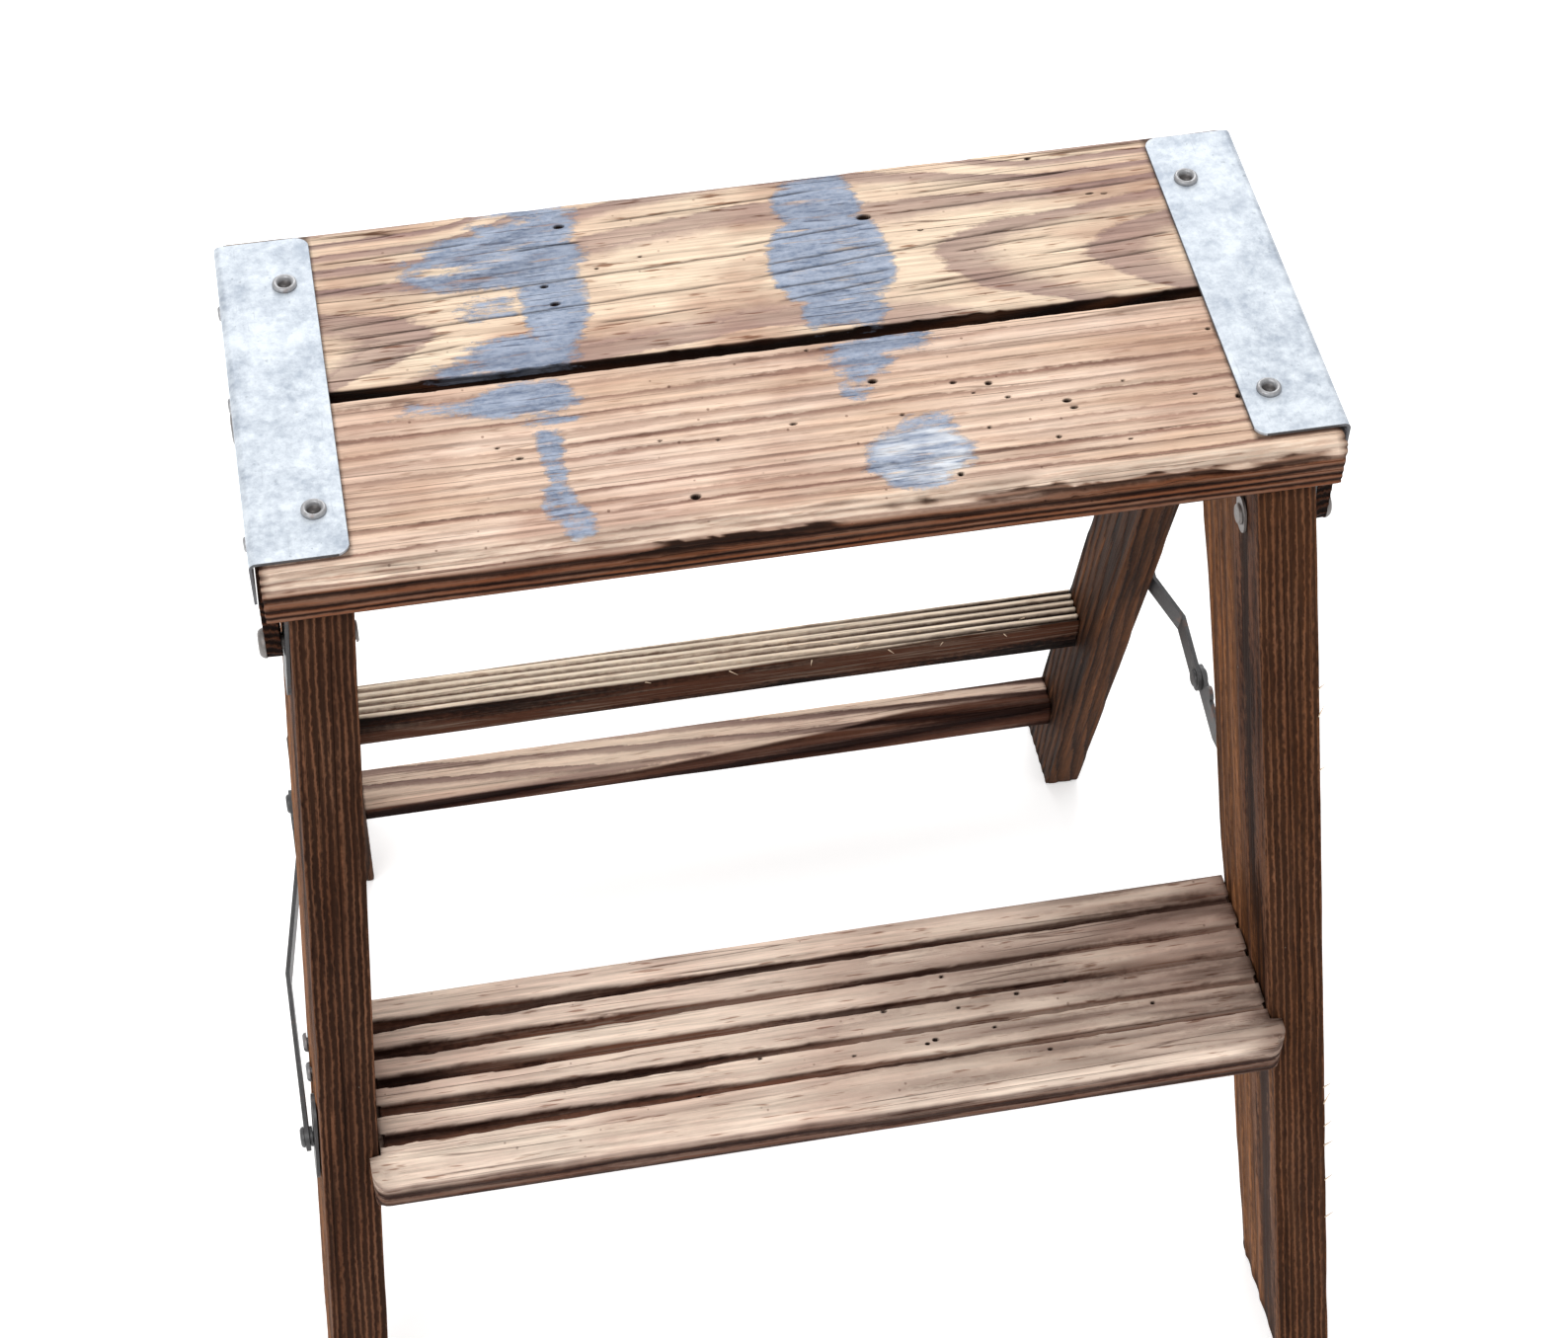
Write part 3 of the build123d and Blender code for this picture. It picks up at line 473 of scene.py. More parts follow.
def pine(
    name, tones, profile, contrast=0.8, ripple=0.5, fray=0.34, fibre=0.45, cracks=0.6, dashes=0.5,
    uneven=0.4, clouds=0.0, specks=0.0, ring_wear=0.1, grime=(58, 42, 38), flecks=False, painted=False,
):
    """Weathered pine with tones for pale, mid, late and worn wood and for stain and painted shade, with
    the dirt in its valleys, its cracks, its old paint, and its soot and painted shade."""
    pale, mid, late_tone, worn, stain_and_shade_tone = [shade(*tone) for tone in tones]
    material, wiring, shader = finish_material(name)
    grain = wiring.attribute("grain")
    figure_node = wiring.node("ShaderNodeGroup", node_tree=PINE_FIGURE)
    wiring.fill(figure_node, Grain=grain, Ring=wiring.attribute("ring"), Ripple=ripple, Fray=fray)
    figure = figure_node.outputs
    bold = wiring.scaled(figure["Bold"], uneven, 1.0 - uneven)
    late = wiring.times(wiring.ramp(figure["Phase"], *profile), bold)
    colour = wiring.mix(figure["Blotch"], pale, mid)
    colour = wiring.darkened(wiring.times(figure["Cloud"], clouds), colour, shade(212, 194, 190))
    colour = wiring.mix(wiring.times(late, contrast), colour, late_tone)
    speckle = wiring.noise(grain, (120, 600, 600), 3.0, 0.7)
    wear = wiring.times(wiring.attribute("wear"), wiring.ramp(speckle, (0.3, 0.2), (0.62, 1.0)))
    wear = wiring.times(wear, wiring.scaled(late, ring_wear - 1.0, 1.0))
    colour = wiring.mix(wear, colour, worn)
    streak = wiring.scaled(figure["Fibre"], fibre, 1.0 - 0.62 * fibre)
    colour = wiring.mix(1.0, colour, streak, "MULTIPLY")
    crack = wiring.times(figure["Crack"], cracks)
    colour = wiring.darkened(wiring.times(figure["Dash"], dashes), colour, shade(168, 140, 126))
    colour = wiring.darkened(wiring.times(figure["Speck"], specks), colour, shade(120, 92, 80))
    colour = wiring.darkened(crack, colour, shade(104, 78, 66))
    stain = wiring.attribute("stain")
    broken = wiring.times(wiring.centred(figure["Fibre"]), 0.35)
    broken = wiring.times(broken, wiring.ramp(stain, (0.0, 0.0), (0.2, 1.0)))
    stain = wiring.math("ADD", stain, broken, clamp=True)
    colour = wiring.darkened(stain, colour, stain_and_shade_tone)
    grimy = wiring.times(stain, wiring.ramp(figure["Phase"], *GRIMY_BANDS))
    colour = wiring.darkened(grimy, colour, shade(*grime))
    height = wiring.scaled(late, -0.6, wiring.times(figure["Fibre"], 0.6))
    height = wiring.math("SUBTRACT", height, crack)
    if flecks:
        fleck = wiring.dots(grain, 75, 0.03, 0.06, 31)
        colour = wiring.mix(wiring.times(fleck, 0.8), colour, shade(206, 194, 184))
    if painted:
        cover, film = old_paint(wiring, grain, figure, late, crack)
        colour = wiring.mix(wiring.times(cover, 0.96), colour, film)
        height = wiring.scaled(cover, 0.5, height)
    # Soot and painted shade, where the marks carry them.
    colour = wiring.mix(wiring.attribute("soot"), colour, SOOT_AND_SHADE)
    roughness = wiring.scaled(figure["Fibre"], 0.2, 0.6)
    wiring.fill(shader, Base_Color=colour, Roughness=roughness, Specular_IOR_Level=WOOD_GLOSS)
    bumped(wiring, shader, height, 0.6 * MM, 0.9)
    return material


# How far in from the cap's inner and front edges the painted shade reaches
SHADED_EDGE_WIDTH = 0.2 * MM


def galvanised_sheet():
    """Zinc-coated sheet: pale blue-white bloom in small mottles, scratches, and painted shade on its inner
    and front edges.
    """
    material, wiring, shader = finish_material("galvanised_sheet")
    place = wiring.place()
    cloud = wiring.noise(place, 42, 5.0, 0.62)
    mottle = wiring.noise(place, 260, 5.0, 0.7)
    tone = wiring.ramp(wiring.mix(0.45, cloud, mottle), (0.38, 0.0), (0.6, 1.0))
    scratch = wiring.patches(place, (700, 60, 200), 0.64, 0.72, 3.0)
    speck = wiring.patches(place, 420, 0.68, 0.74)
    colour = wiring.mix(tone, shade(158, 168, 181), shade(220, 227, 234))
    colour = wiring.mix(wiring.times(scratch, 0.35), colour, shade(164, 172, 182))
    colour = wiring.mix(wiring.times(speck, 0.5), colour, shade(142, 150, 160))
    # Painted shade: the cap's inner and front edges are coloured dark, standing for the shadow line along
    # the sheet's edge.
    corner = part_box("cap_right")[0]
    split = wiring.node("ShaderNodeSeparateXYZ")
    wiring.feed(split.inputs[0], place)
    inner = wiring.math("LESS_THAN", wiring.math("ABSOLUTE", split.outputs[0]), corner.x + SHADED_EDGE_WIDTH)
    front = wiring.math("LESS_THAN", split.outputs[1], corner.y + SHADED_EDGE_WIDTH)
    edge_shade = wiring.math("MAXIMUM", inner, front)
    colour = wiring.mix(wiring.times(edge_shade, 0.85), colour, shade(52, 46, 46))
    wiring.fill(shader, Base_Color=colour, Metallic=0.2, Roughness=wiring.scaled(tone, 0.22, 0.4))
    bumped(wiring, shader, wiring.scaled(mottle, 0.25, cloud), 0.7 * MM, 0.6)
    return material


def bare_steel(name, dark, light, rust, rust_share, metallic=0.8):
    """Handled steel: uneven grey, fine scratches, a little rust and painted shade in rivet hollows."""
    material, wiring, shader = finish_material(name)
    place = wiring.place()
    cloud = wiring.noise(place, 90, 4.0, 0.65)
    grit = wiring.noise(place, 900, 3.0, 0.7)
    scratch = wiring.patches(place, (1200, 120, 300), 0.64, 0.72, 2.0, 0.4)
    rusty = wiring.patches(place, 60, 0.62 - rust_share, 0.7, 5.0, 0.7)
    colour = wiring.mix(wiring.mix(0.5, cloud, grit), dark, light)
    colour = wiring.mix(wiring.times(scratch, 0.5), colour, light)
    colour = wiring.mix(wiring.times(rusty, 0.7), colour, rust)
    # Painted shade in the rivets' hollows and around their feet.
    colour = wiring.mix(wiring.attribute("hollow"), colour, shade(84, 80, 79))
    metal = wiring.scaled(rusty, -0.6, metallic)
    wiring.fill(shader, Base_Color=colour, Metallic=metal, Roughness=wiring.scaled(cloud, 0.25, 0.3))
    bumped(wiring, shader, wiring.math("ADD", grit, scratch), 0.15 * MM, 0.4)
    return material


# Top boards

BOARD_NOSE = 7.0 * MM
PATCH_POWER = 2.4


def inside_patch(x, y, patch):
    """How deep a place is inside a squarish patch, in mm; below 0 outside it."""
    centre_x, centre_y, half_width, half_depth = patch[:4]
    away_x, away_y = abs(x / MM - centre_x) / half_width, abs(y / MM - centre_y) / half_depth
    away = (away_x ** PATCH_POWER + away_y ** PATCH_POWER) ** (1 / PATCH_POWER)
    return (1.0 - away) * min(half_width, half_depth)


def paint_reach(x, y):
    """Above 0 inside old paint and below 0 outside it, in centimetres from its edge."""
    swirl = Vector((x / 0.03, y / 0.02, 4.7))
    x += 4 * MM * noise.noise(swirl)
    y += 3.5 * MM * noise.noise(swirl + Vector((7.1, 0.0, 0.0)))
    reach = max(min(patch[4], inside_patch(x, y, patch)) for patch in PAINT_PATCHES)
    for scrape in PAINT_SCRAPES:
        reach = min(reach, -inside_patch(x, y, scrape))
    return min(1.0, max(-1.0, reach / 10))


# Wormholes and nail holes in the boards: x, y, half the length and half the width, in mm
FRONT_PITS = (
    (36, -8, 1.8, 1.4), (68, -14, 1.3, 1.0), (82, -17, 1.4, 1.2), (75, -21, 0.7, 0.6),
    (88, -26, 1.1, 0.7), (111, -32, 1.7, 1.1), (113, -36, 1.5, 1.0), (103, -51, 1.0, 0.9),
    (131, -57, 0.8, 0.6), (136, -25, 0.7, 0.6), (163, -37, 0.9, 0.7), (180, -41, 1.1, 1.0),
    (77, -41, 0.7, 0.6), (0, -26, 1.4, 0.7), (60, -64, 1.2, 0.9), (44, -28, 0.8, 0.7),
    (178, -2, 1.0, 0.8), (13, 14, 0.7, 0.6), (-45, -58, 2.0, 1.3), (-54, -26, 0.7, 0.6),
    (-31, -29, 0.7, 0.6), (-110, -26, 1.4, 0.7), (-118, -19, 0.7, 0.6),
)
REAR_PITS = (
    (-76, 104, 2.2, 1.3), (-87, 69, 1.6, 1.0), (-84, 58, 2.0, 1.2), (52, 88, 3.0, 1.6),
    (-64, 76, 0.7, 0.6), (-45, 80, 0.7, 0.6), (129, 112, 1.3, 0.7), (150, 86, 1.6, 0.6),
    (156, 85, 1.3, 0.6), (74, 76, 0.9, 0.6),
)

# Drying cracks in the rear board: x and y of both ends, in mm
REAR_CRACKS = (
    (-182, 67.2, 20, 75.7), (-182, 51.3, 0, 58.8), (-182, 88.8, -142, 89.3), (-12, 58.0, 126, 72.4),
    (54, 88.2, 182, 90.8), (54, 40.0, 182, 48.5), (-8, 78.9, 54, 84.2), (6, 43.6, 58, 50.0),
    (90, 69.3, 182, 71.1), (-70, 44.0, -20, 45.6), (-64, 103.0, 40, 108.0), (-182, 97.5, -112, 100.0),
    (-182, 80.0, -150, 82.5), (-180, 58.5, -138, 61.5), (-178, 44.0, -126, 48.5),
    (-174, 36.5, -122, 41.0), (84, 61.0, 130, 64.0), (118, 53.0, 182, 57.5), (70, 98.5, 150, 102.0),
    (2, 66.0, 62, 71.5), (4, 51.5, 60, 55.0), (-98, 92.0, -66, 94.0),
)

# Damage along the front board's nose: x of both ends, how far below the top it starts and stops, and its
# depth, in mm, and how black its soot and painted shade make it
NOSE_DAMAGE = (
    (-66, 14, 4.6, 8.8, 1.0, 0.95),
    (-78, -34, 9.0, 13.0, 1.2, 0.7),
    (26, 36, 0.2, 2.8, 1.4, 0.85),
    (39, 52, 0.2, 2.6, 1.4, 0.85),
    (60, 104, 1.6, 5.0, 0.7, 0.1),
    (84, 170, 2.6, 7.5, 1.6, 0.2),
    (172, 212, 2.0, 6.5, 0.7, 0.1),
)


def pitted(mark, x, y, pits):
    """Adds the holes of a list to a mark: sunk, and darkened with soot and painted shade."""
    for pit_x, pit_y, half_length, half_width in pits:
        away = math.hypot((x / MM - pit_x) / half_length, (y / MM - pit_y) / half_width)
        if away < 1.4:
            mark.soot = max(mark.soot, rise(away, 1.35, 0.8))
            mark.sink += 2.0 * MM * rise(away, 1.15, 0.5)


def cracked(mark, x, y, cracks):
    """Adds the cracks of a list to a mark: sunk, and darkened with soot and painted shade."""
    for start_x, start_y, end_x, end_y in cracks:
        share = (x / MM - start_x) / (end_x - start_x)
        if 0.0 < share < 1.0:
            jitter = 0.5 * noise.noise(Vector((x / 0.02, start_y, 0.0)))
            away = abs(y / MM - start_y - (end_y - start_y) * share - jitter)
            open_here = min(1.0, 8 * share, 8 * (1 - share)) * rise(away, 0.85, 0.1)
            mark.soot = max(mark.soot, 0.8 * open_here)
            mark.sink += 0.5 * MM * open_here


def top_board(name, front):
    """One of the two top boards, with its own cut of the log."""
    low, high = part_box(name)
    size = high - low
    middle = size.x / 2
    cap_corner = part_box("cap_right")[0]
    pits = FRONT_PITS if front else REAR_PITS

    def straight_rings(local):
        """Rings cut edge-on: lines along the board, close at the nose and wide at the back."""
        lift = waver(local, (1.7, 0.16, 0.05, 3.1), (0.7, 0.05, 0.02, 8.7), (2.2, 0.7, 0.012, 5.5))
        from_pith = math.hypot(local.y + 0.060, size.z - local.z - 0.068) + lift
        nose_width, growth = 3.7 * MM, 0.06
        return 30 + math.log1p(growth * (from_pith - 0.09) / nose_width) / growth

    def arched_rings(local):
        """Rings cut flat: arches that open towards both ends of the board."""
        x = local.x - middle
        from_middle = low.y + local.y - 0.067 + 0.12 * abs(x)
        spread = 600 + 500 * rise(abs(x), 0.06, 0.14)
        left_end = 12.5 * max(0.0, -0.121 - x)
        right_end = 16.0 * max(0.0, x - 0.067)
        lift = 0.10 * wander(local, 0.09, 0.03, 5.3) + 0.05 * wander(local, 0.03, 0.008, 1.9)
        below = (size.z - local.z) / 0.014
        return 20.22 + spread * from_middle * from_middle - left_end - right_end - below + lift

    def front_marks(local, mark, x, y, below):
        """Adds the dirt, wear and damage along the front board's nose, with soot and painted shade in the
        damage.
        """
        face = rise_mm(below, 4.5, 8) * rise_mm(local.y, 5, 1.5)
        nose_dirt = rise_mm(local.y, 11, 3) * (0.05 + 0.45 * wander(local, 0.02, 0.003, 6.1))
        mark.wear = 0.85 * rise_mm(local.y, 9, 5) * rise_mm(below, 5.5, 3.5)
        mark.wear = max(mark.wear, 0.9 * rise(inside_patch(x, y, CHALKY_PAINT), 0.0, 8.0))
        mark.stain = max(0.95 * face, nose_dirt)
        ragged = waver(local, (1.6, 0.008, 0.5, 4.4), (0.8, 0.003, 0.5, 9.4))
        for start, end, top, bottom, depth, soot_and_shade_share in NOSE_DAMAGE:
            frayed = x / MM + 7 * wander(local, 9.0, 0.0025, start / 7)
            along = rise(frayed, start, start + 9) * rise(frayed, end, end - 9)
            if along > 0.0 and local.y < 9 * MM:
                across = rise(below + ragged, top * MM, (top + 1.4) * MM)
                across *= rise(below + 0.6 * ragged, (bottom + 1.2) * MM, bottom * MM)
                mark.sink += depth * MM * along * across
                mark.stain = max(mark.stain, (0.72 + 0.28 * soot_and_shade_share) * along * across)
                # The blackening stands for soot and painted shade in the broken nose.
                mark.soot = max(mark.soot, soot_and_shade_share * along * across)
                mark.wear *= 1.0 - along * across

    def marks(local):
        x, y = low.x + local.x, low.y + local.y
        below = size.z - local.z
        mark = Mark(paint=paint_reach(x, y) if below < 6 * MM else -1.0)
        if front:
            front_marks(local, mark, x, y, below)
            gap_side = rise_before(local.y, size.y, 0.8, 0.1)
        else:
            gap_side = rise_mm(local.y, 0.8, 0.1)
            back = rise_before(local.y, size.y, 2, 0.5) * rise_mm(below, 2, 5)
            mark.stain = max(mark.stain, 0.6 * back)
        if below < 1 * MM:
            pitted(mark, x, y, pits)
            if not front:
                cracked(mark, x, y, REAR_CRACKS)
        underside = rise_before(below, size.z, 3, 1)
        ends = rise_before(abs(local.x - middle), middle, 3, 1)
        mark.stain = max(mark.stain, 0.6 * underside, 0.7 * ends)
        torn = rise(wander(local, 0.007, 9.0, 3.7) + wander(local, 0.05, 9.0, 8.1), 0.1, 0.6)
        mark.sink += 1.3 * MM * torn * gap_side * rise_mm(below, 6, 1.5)
        # Painted shade: a dark line on the boards along the caps' inner and front edges.
        under_cap = min(abs(x) - cap_corner.x, y - cap_corner.y)
        shade_beside_cap = rise(under_cap, -1.5 * MM, -0.4 * MM) * rise_mm(below, 3, 1)
        # Dirt and painted shade darken the boards' sides in the gap between them.
        gap_dirt_and_shade = gap_side * rise_mm(below, 0.4, 1.3)
        mark.stain = max(mark.stain, gap_dirt_and_shade)
        mark.soot = max(mark.soot, 0.68 * gap_dirt_and_shade, 0.65 * shade_beside_cap)
        return mark

    def nose(local):
        return BOARD_NOSE * (1.0 + 0.22 * wander(local, 0.035, 0.5, 2.2))

    edge = 2.0 * MM
    corners = long_edges(nose if front else 1.0 * MM, edge, 1.0 * MM if front else edge, edge)
    spots = [(pit[0] * MM - low.x, pit[1] * MM - low.y) for pit in pits]
    cells = (180, 146, 20) if front else (160, 156, 16)
    rings, profile = (straight_rings, THIN_LINES) if front else (arched_rings, BROAD_BANDS)
    return plank(
        name + "_wood", size, cells, corners + end_edges(1.5 * MM), rings, profile, marks,
        lambda local: low + local, ridge=(0.55 if front else 0.3) * MM, crowding=0.15, fine_spots=spots,
    )


# Front legs


def level_of(node, height):
    """Lowest and highest corner of a solid's points at one height."""
    near = [v.co for v in frame["nodes"][node].data.vertices if abs(v.co.z - height) < 0.2 * MM]
    return (
        Vector([min(point[axis] for point in near) for axis in range(3)]),
        Vector([max(point[axis] for point in near) for axis in range(3)]),
    )


LEG_RING = 3.1 * MM
LEG_FOOT_DEPTH = 69.0 * MM
LEG_FOOT_CORNER = 8.0 * MM
leg_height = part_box("front_leg_right")[1].z
leg_top_low, leg_top_high = level_of("front_leg_right", leg_height)
leg_foot_low, leg_foot_high = level_of("front_leg_right", 0.0)
leg_thickness = leg_top_high.x - leg_top_low.x
leg_top_depth = leg_top_high.y - leg_top_low.y


def leg_outer(height):
    """How far out the front legs' outer faces stand."""
    return leg_foot_high.x + (leg_top_high.x - leg_foot_high.x) * height / leg_height


def leg_front(height):
    """Where the front legs' front edges are."""
    return leg_foot_low.y + (leg_top_low.y - leg_foot_low.y) * height / leg_height


def leg_depth(height):
    """How deep the front legs are from front to back."""
    return LEG_FOOT_DEPTH + (leg_top_depth - LEG_FOOT_DEPTH) * height / leg_height


def front_leg(name, side):
    """A splayed front leg, with ridged grain up its front edge and broad figure at its back."""
    size = Vector((leg_height, leg_top_depth, leg_thickness))
    seed = 11.0 * side

    def trim(local):
        return Vector((local.x, local.y * leg_depth(local.x) / leg_top_depth, local.z))

    def place(local):
        return Vector((side * (leg_outer(local.x) - local.z), leg_front(local.x) + local.y, local.x))

    def rings(local):
        lift = waver(
            local, (1.3, 0.22, 0.05, seed), (0.45, 0.03, 0.012, seed + 5), (0.8, 0.45, 0.007, seed + 9)
        )
        return (math.hypot(local.y, local.z + 0.20) + lift) / LEG_RING

    def marks(local):
        depth = leg_depth(local.x)
        foot = rise_mm(local.x, 14, 1)
        top = rise_before(local.x, size.x, 14, 2)
        drift = 0.14 * wander(local, 0.10, 9.0, seed + 3)
        back = rise(local.y / depth, 0.42 + drift, 0.50 + drift)
        streaks = rise(wander(local, 0.14, 0.006, seed + 8), -0.15, 0.3) * rise(local.x, 0.36, 0.20)
        front_edge = rise_mm(local.y, 5, 0.5)
        dark_band = rise_mm(local.y, 2, 7) * (1.0 - back) * (0.4 + 0.6 * rise(local.x, 0.2, 0.3))
        patchy = 0.75 + 0.4 * wander(local, 0.09, 0.012, seed + 12)
        low_wear = 0.95 + 0.05 * rise(local.x, 0.12, 0.24)
        wear = max(0.95 * patchy * back * low_wear, 0.9 * streaks * (1.0 - front_edge))
        wear = max(wear, (0.45 if side > 0 else 0.12) * patchy * front_edge)
        return Mark(stain=max(0.5 * foot, 0.5 * top, 0.35 * front_edge, 0.38 * dark_band), wear=wear)

    corners = long_edges(1.6 * MM, 1.6 * MM, 2.5 * MM, 2.5 * MM) + end_edges(1.0 * MM)
    corners.insert(0, (ALONG, LOW, ACROSS, HIGH, LEG_FOOT_CORNER))
    return plank(
        name + "_wood", size, (150, 84, 54), corners, rings, BRIGHT_RIDGES, marks, place,
        trim, ridge=0.8 * MM,
    )


# Tread

TREAD_RING = 5.2 * MM
GROOVE_COUNT = 5
GROOVE_FIRST = 15.2 * MM
GROOVE_PITCH = 15.1 * MM
GROOVE_WIDTH = 6.6 * MM
GROOVE_DEPTH = 2.6 * MM
TREAD_NOSE = 8.0 * MM
TREAD_LOWER_EDGE = 2.5 * MM

# Wormholes in the tread: x, distance from its front, half the length and half the width, in mm
TREAD_PITS = (
    (50, 28, 1.4, 1.0), (46, 26.5, 1.1, 0.8), (78, 30, 1.0, 0.7), (30, 47, 1.2, 0.8),
    (92, 46, 1.2, 0.9), (116, 49, 1.0, 0.8), (152, 30, 1.0, 0.8), (100, 14, 1.0, 0.8),
    (60, 61, 1.0, 0.8), (-30, 32, 0.9, 0.7), (-60, 18, 0.9, 0.7), (12, 26, 0.9, 0.6),
    (64, 43, 1.0, 0.7),
)


def grooved_tread():
    """The lower tread: a pale worn board with grooves that fade to the right and a round nose."""
    low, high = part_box("tread")
    size = high - low
    middle = size.x / 2
    seat_gap = 0.1 * MM

    def trim(local):
        height = low.z + local.z
        behind = rise_before(low.y + local.y, leg_front(height), 0.9, 0.2)
        seat = leg_outer(height) - leg_thickness - seat_gap
        half = middle + (seat - middle) * behind
        return Vector((middle + (local.x - middle) * half / middle, local.y, local.z))

    def rings(local):
        lift = waver(local, (2.2, 0.14, 0.05, 6.6), (0.6, 0.04, 0.01, 2.4))
        return (math.hypot(local.y - 0.06, local.z + 0.055) + lift) / TREAD_RING

    def marks(local):
        x, share = low.x + local.x, local.x / size.x
        depth_below = size.z - local.z
        mark = Mark()
        if depth_below < 3 * MM:
            fade = 1.0 - 0.45 * rise(share, 0.1, 0.52)
            for index in range(GROOVE_COUNT):
                centre = size.y - GROOVE_FIRST - index * GROOVE_PITCH
                wobble = waver(
                    local, (0.5, 0.03, 9.0, 3.0 * index + 1), (0.35, 0.006, 9.0, 5.0 * index + 2)
                )
                half = GROOVE_WIDTH / 2 * fade * (1.0 + 0.3 * wander(local, 0.02, 9.0, 7.0 * index))
                away = abs(local.y - centre - wobble)
                inside = rise(away, half + 0.25 * MM, half - 0.25 * MM)
                mark.sink = max(mark.sink, GROOVE_DEPTH * fade * inside)
                mark.stain = max(mark.stain, inside * (1.0 - 0.2 * share))
                mark.soot = max(mark.soot, inside * (0.2 - 0.2 * rise(share, 0.02, 0.3)))
        if depth_below < 1 * MM:
            pitted(mark, x, local.y, TREAD_PITS)
        edge = waver(local, (1.5, 0.03, 9.0, 4.2), (1.0, 0.008, 9.0, 6.2))
        face = rise_mm(depth_below + edge, 6.5, 15) * rise_mm(local.y, 12, 4)
        # Dirt smudges and painted shade darken the right part of the top near the right leg, and painted
        # shade darkens both ends where they meet the legs.
        smudge = 0.6 + 0.5 * wander(local, 0.09, 0.007, 9.1) + 0.35 * wander(local, 0.03, 0.003, 3.3)
        right_end = rise(share, 0.35, 0.97) * max(0.0, smudge) * rise_mm(depth_below, 3, 1)
        seat_shade = 0.7 * rise(share, 0.93, 1.0) + 0.4 * rise(share, 0.03, 0.0)
        under = rise_mm(depth_below, 8, 14)
        mark.stain = max(mark.stain, 0.92 * face, 0.76 * right_end, 0.8 * under, seat_shade)
        mark.wear = 0.6 * rise_mm(local.y, 13, 5) * rise_mm(depth_below, 7, 4)
        mark.wear *= 1.0 - 0.6 * rise(share, 0.4, 0.9)
        return mark

    def nose(local):
        return TREAD_NOSE * (1.0 + 0.12 * wander(local, 0.03, 0.5, 7.7))

    corners = long_edges(nose, TREAD_LOWER_EDGE, 2.0 * MM, 2.0 * MM)
    corners += [(ALONG, end, ACROSS, LOW, 6.0 * MM) for end in (LOW, HIGH)]
    spots = [(pit[0] * MM - low.x, pit[1] * MM) for pit in TREAD_PITS]
    return plank(
        "tread_wood", size, (150, 210, 22), corners, rings, SOFT_BANDS, marks, lambda local: low + local,
        trim, ridge=0.2 * MM, crowding=0.25, fine_spots=spots,
    )


# Rear frame

fold = next(joint for joint in frame["joints"] if joint["name"] == "rear_fold")
pivot = Vector(fold["pos_m"])
rear_foot_low, rear_foot_high = level_of("rear_leg_right", 0.0)
lean = math.atan2((rear_foot_low.y + rear_foot_high.y) / 2 - pivot.y, pivot.z)
REAR_LEG_RING = 5.2 * MM
KNOT_ABOVE_FOOT = 64 * MM


def rear_leg(name, side):
    """A rear leg, round at its pivot end and cut level at the floor."""
    low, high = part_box("rear_leg_right")
    depth = (rear_foot_high.y - rear_foot_low.y) * math.cos(lean)
    half = depth / 2
    size = Vector((half + pivot.z / math.cos(lean), depth, high.x - low.x))
    seed = 21.0 * side
    knot = Vector((size.x - KNOT_ABOVE_FOOT, 0.52 * depth, size.z))

    def from_knot(local):
        away = local - knot
        return math.hypot(away.x / (8 * MM), away.y / (4.5 * MM)) if side > 0 else 9.0

    def trim(local):
        reach = half + (pivot.z + (local.y - half) * math.sin(lean)) / math.cos(lean)
        return Vector((local.x * reach / size.x, local.y, local.z))

    def place(local):
        down, back = local.x - half, local.y - half
        y = pivot.y + down * math.sin(lean) + back * math.cos(lean)
        z = pivot.z - down * math.cos(lean) + back * math.sin(lean)
        return Vector((side * (high.x - local.z), y, z))

    def rings(local):
        lift = waver(local, (2.2, 0.15, 0.04, seed), (0.5, 0.04, 0.01, seed + 2))
        slant = local.y + 0.10 * (local.x - 0.25) + 5 * MM * math.exp(-0.4 * from_knot(local) ** 2)
        return (math.hypot(slant + 0.03, local.z + 0.05) + lift) / REAR_LEG_RING

    def marks(local):
        foot = rise_before(local.x, size.x, 14, 2)
        back = rise_before(local.y, size.y, 7, 2)
        rubbed = 0.75 * rise(wander(local, 0.12, 0.007, seed + 6), 0.1, 0.45)
        wear = max(rubbed, 0.3 * rise_mm(local.y, 4, 1))
        knotty = 0.75 * rise(from_knot(local), 1.2, 0.6) * rise_before(local.z, size.z, 3, 1)
        return Mark(stain=max(0.5 * foot, 0.4 * back), wear=wear, soot=knotty)

    corners = [(ALONG, LOW, ACROSS, end, half) for end in (LOW, HIGH)]
    corners += even_edges(1.5 * MM)
    corners += [(ALONG, HIGH, ACROSS, LOW, 3.0 * MM)]
    return plank(
        name + "_wood", size, (150, 56, 22), corners, rings, SOFT_BANDS, marks, place,
        trim, ridge=0.45 * MM,
    )


RAIL_CORNER = 2.2 * MM


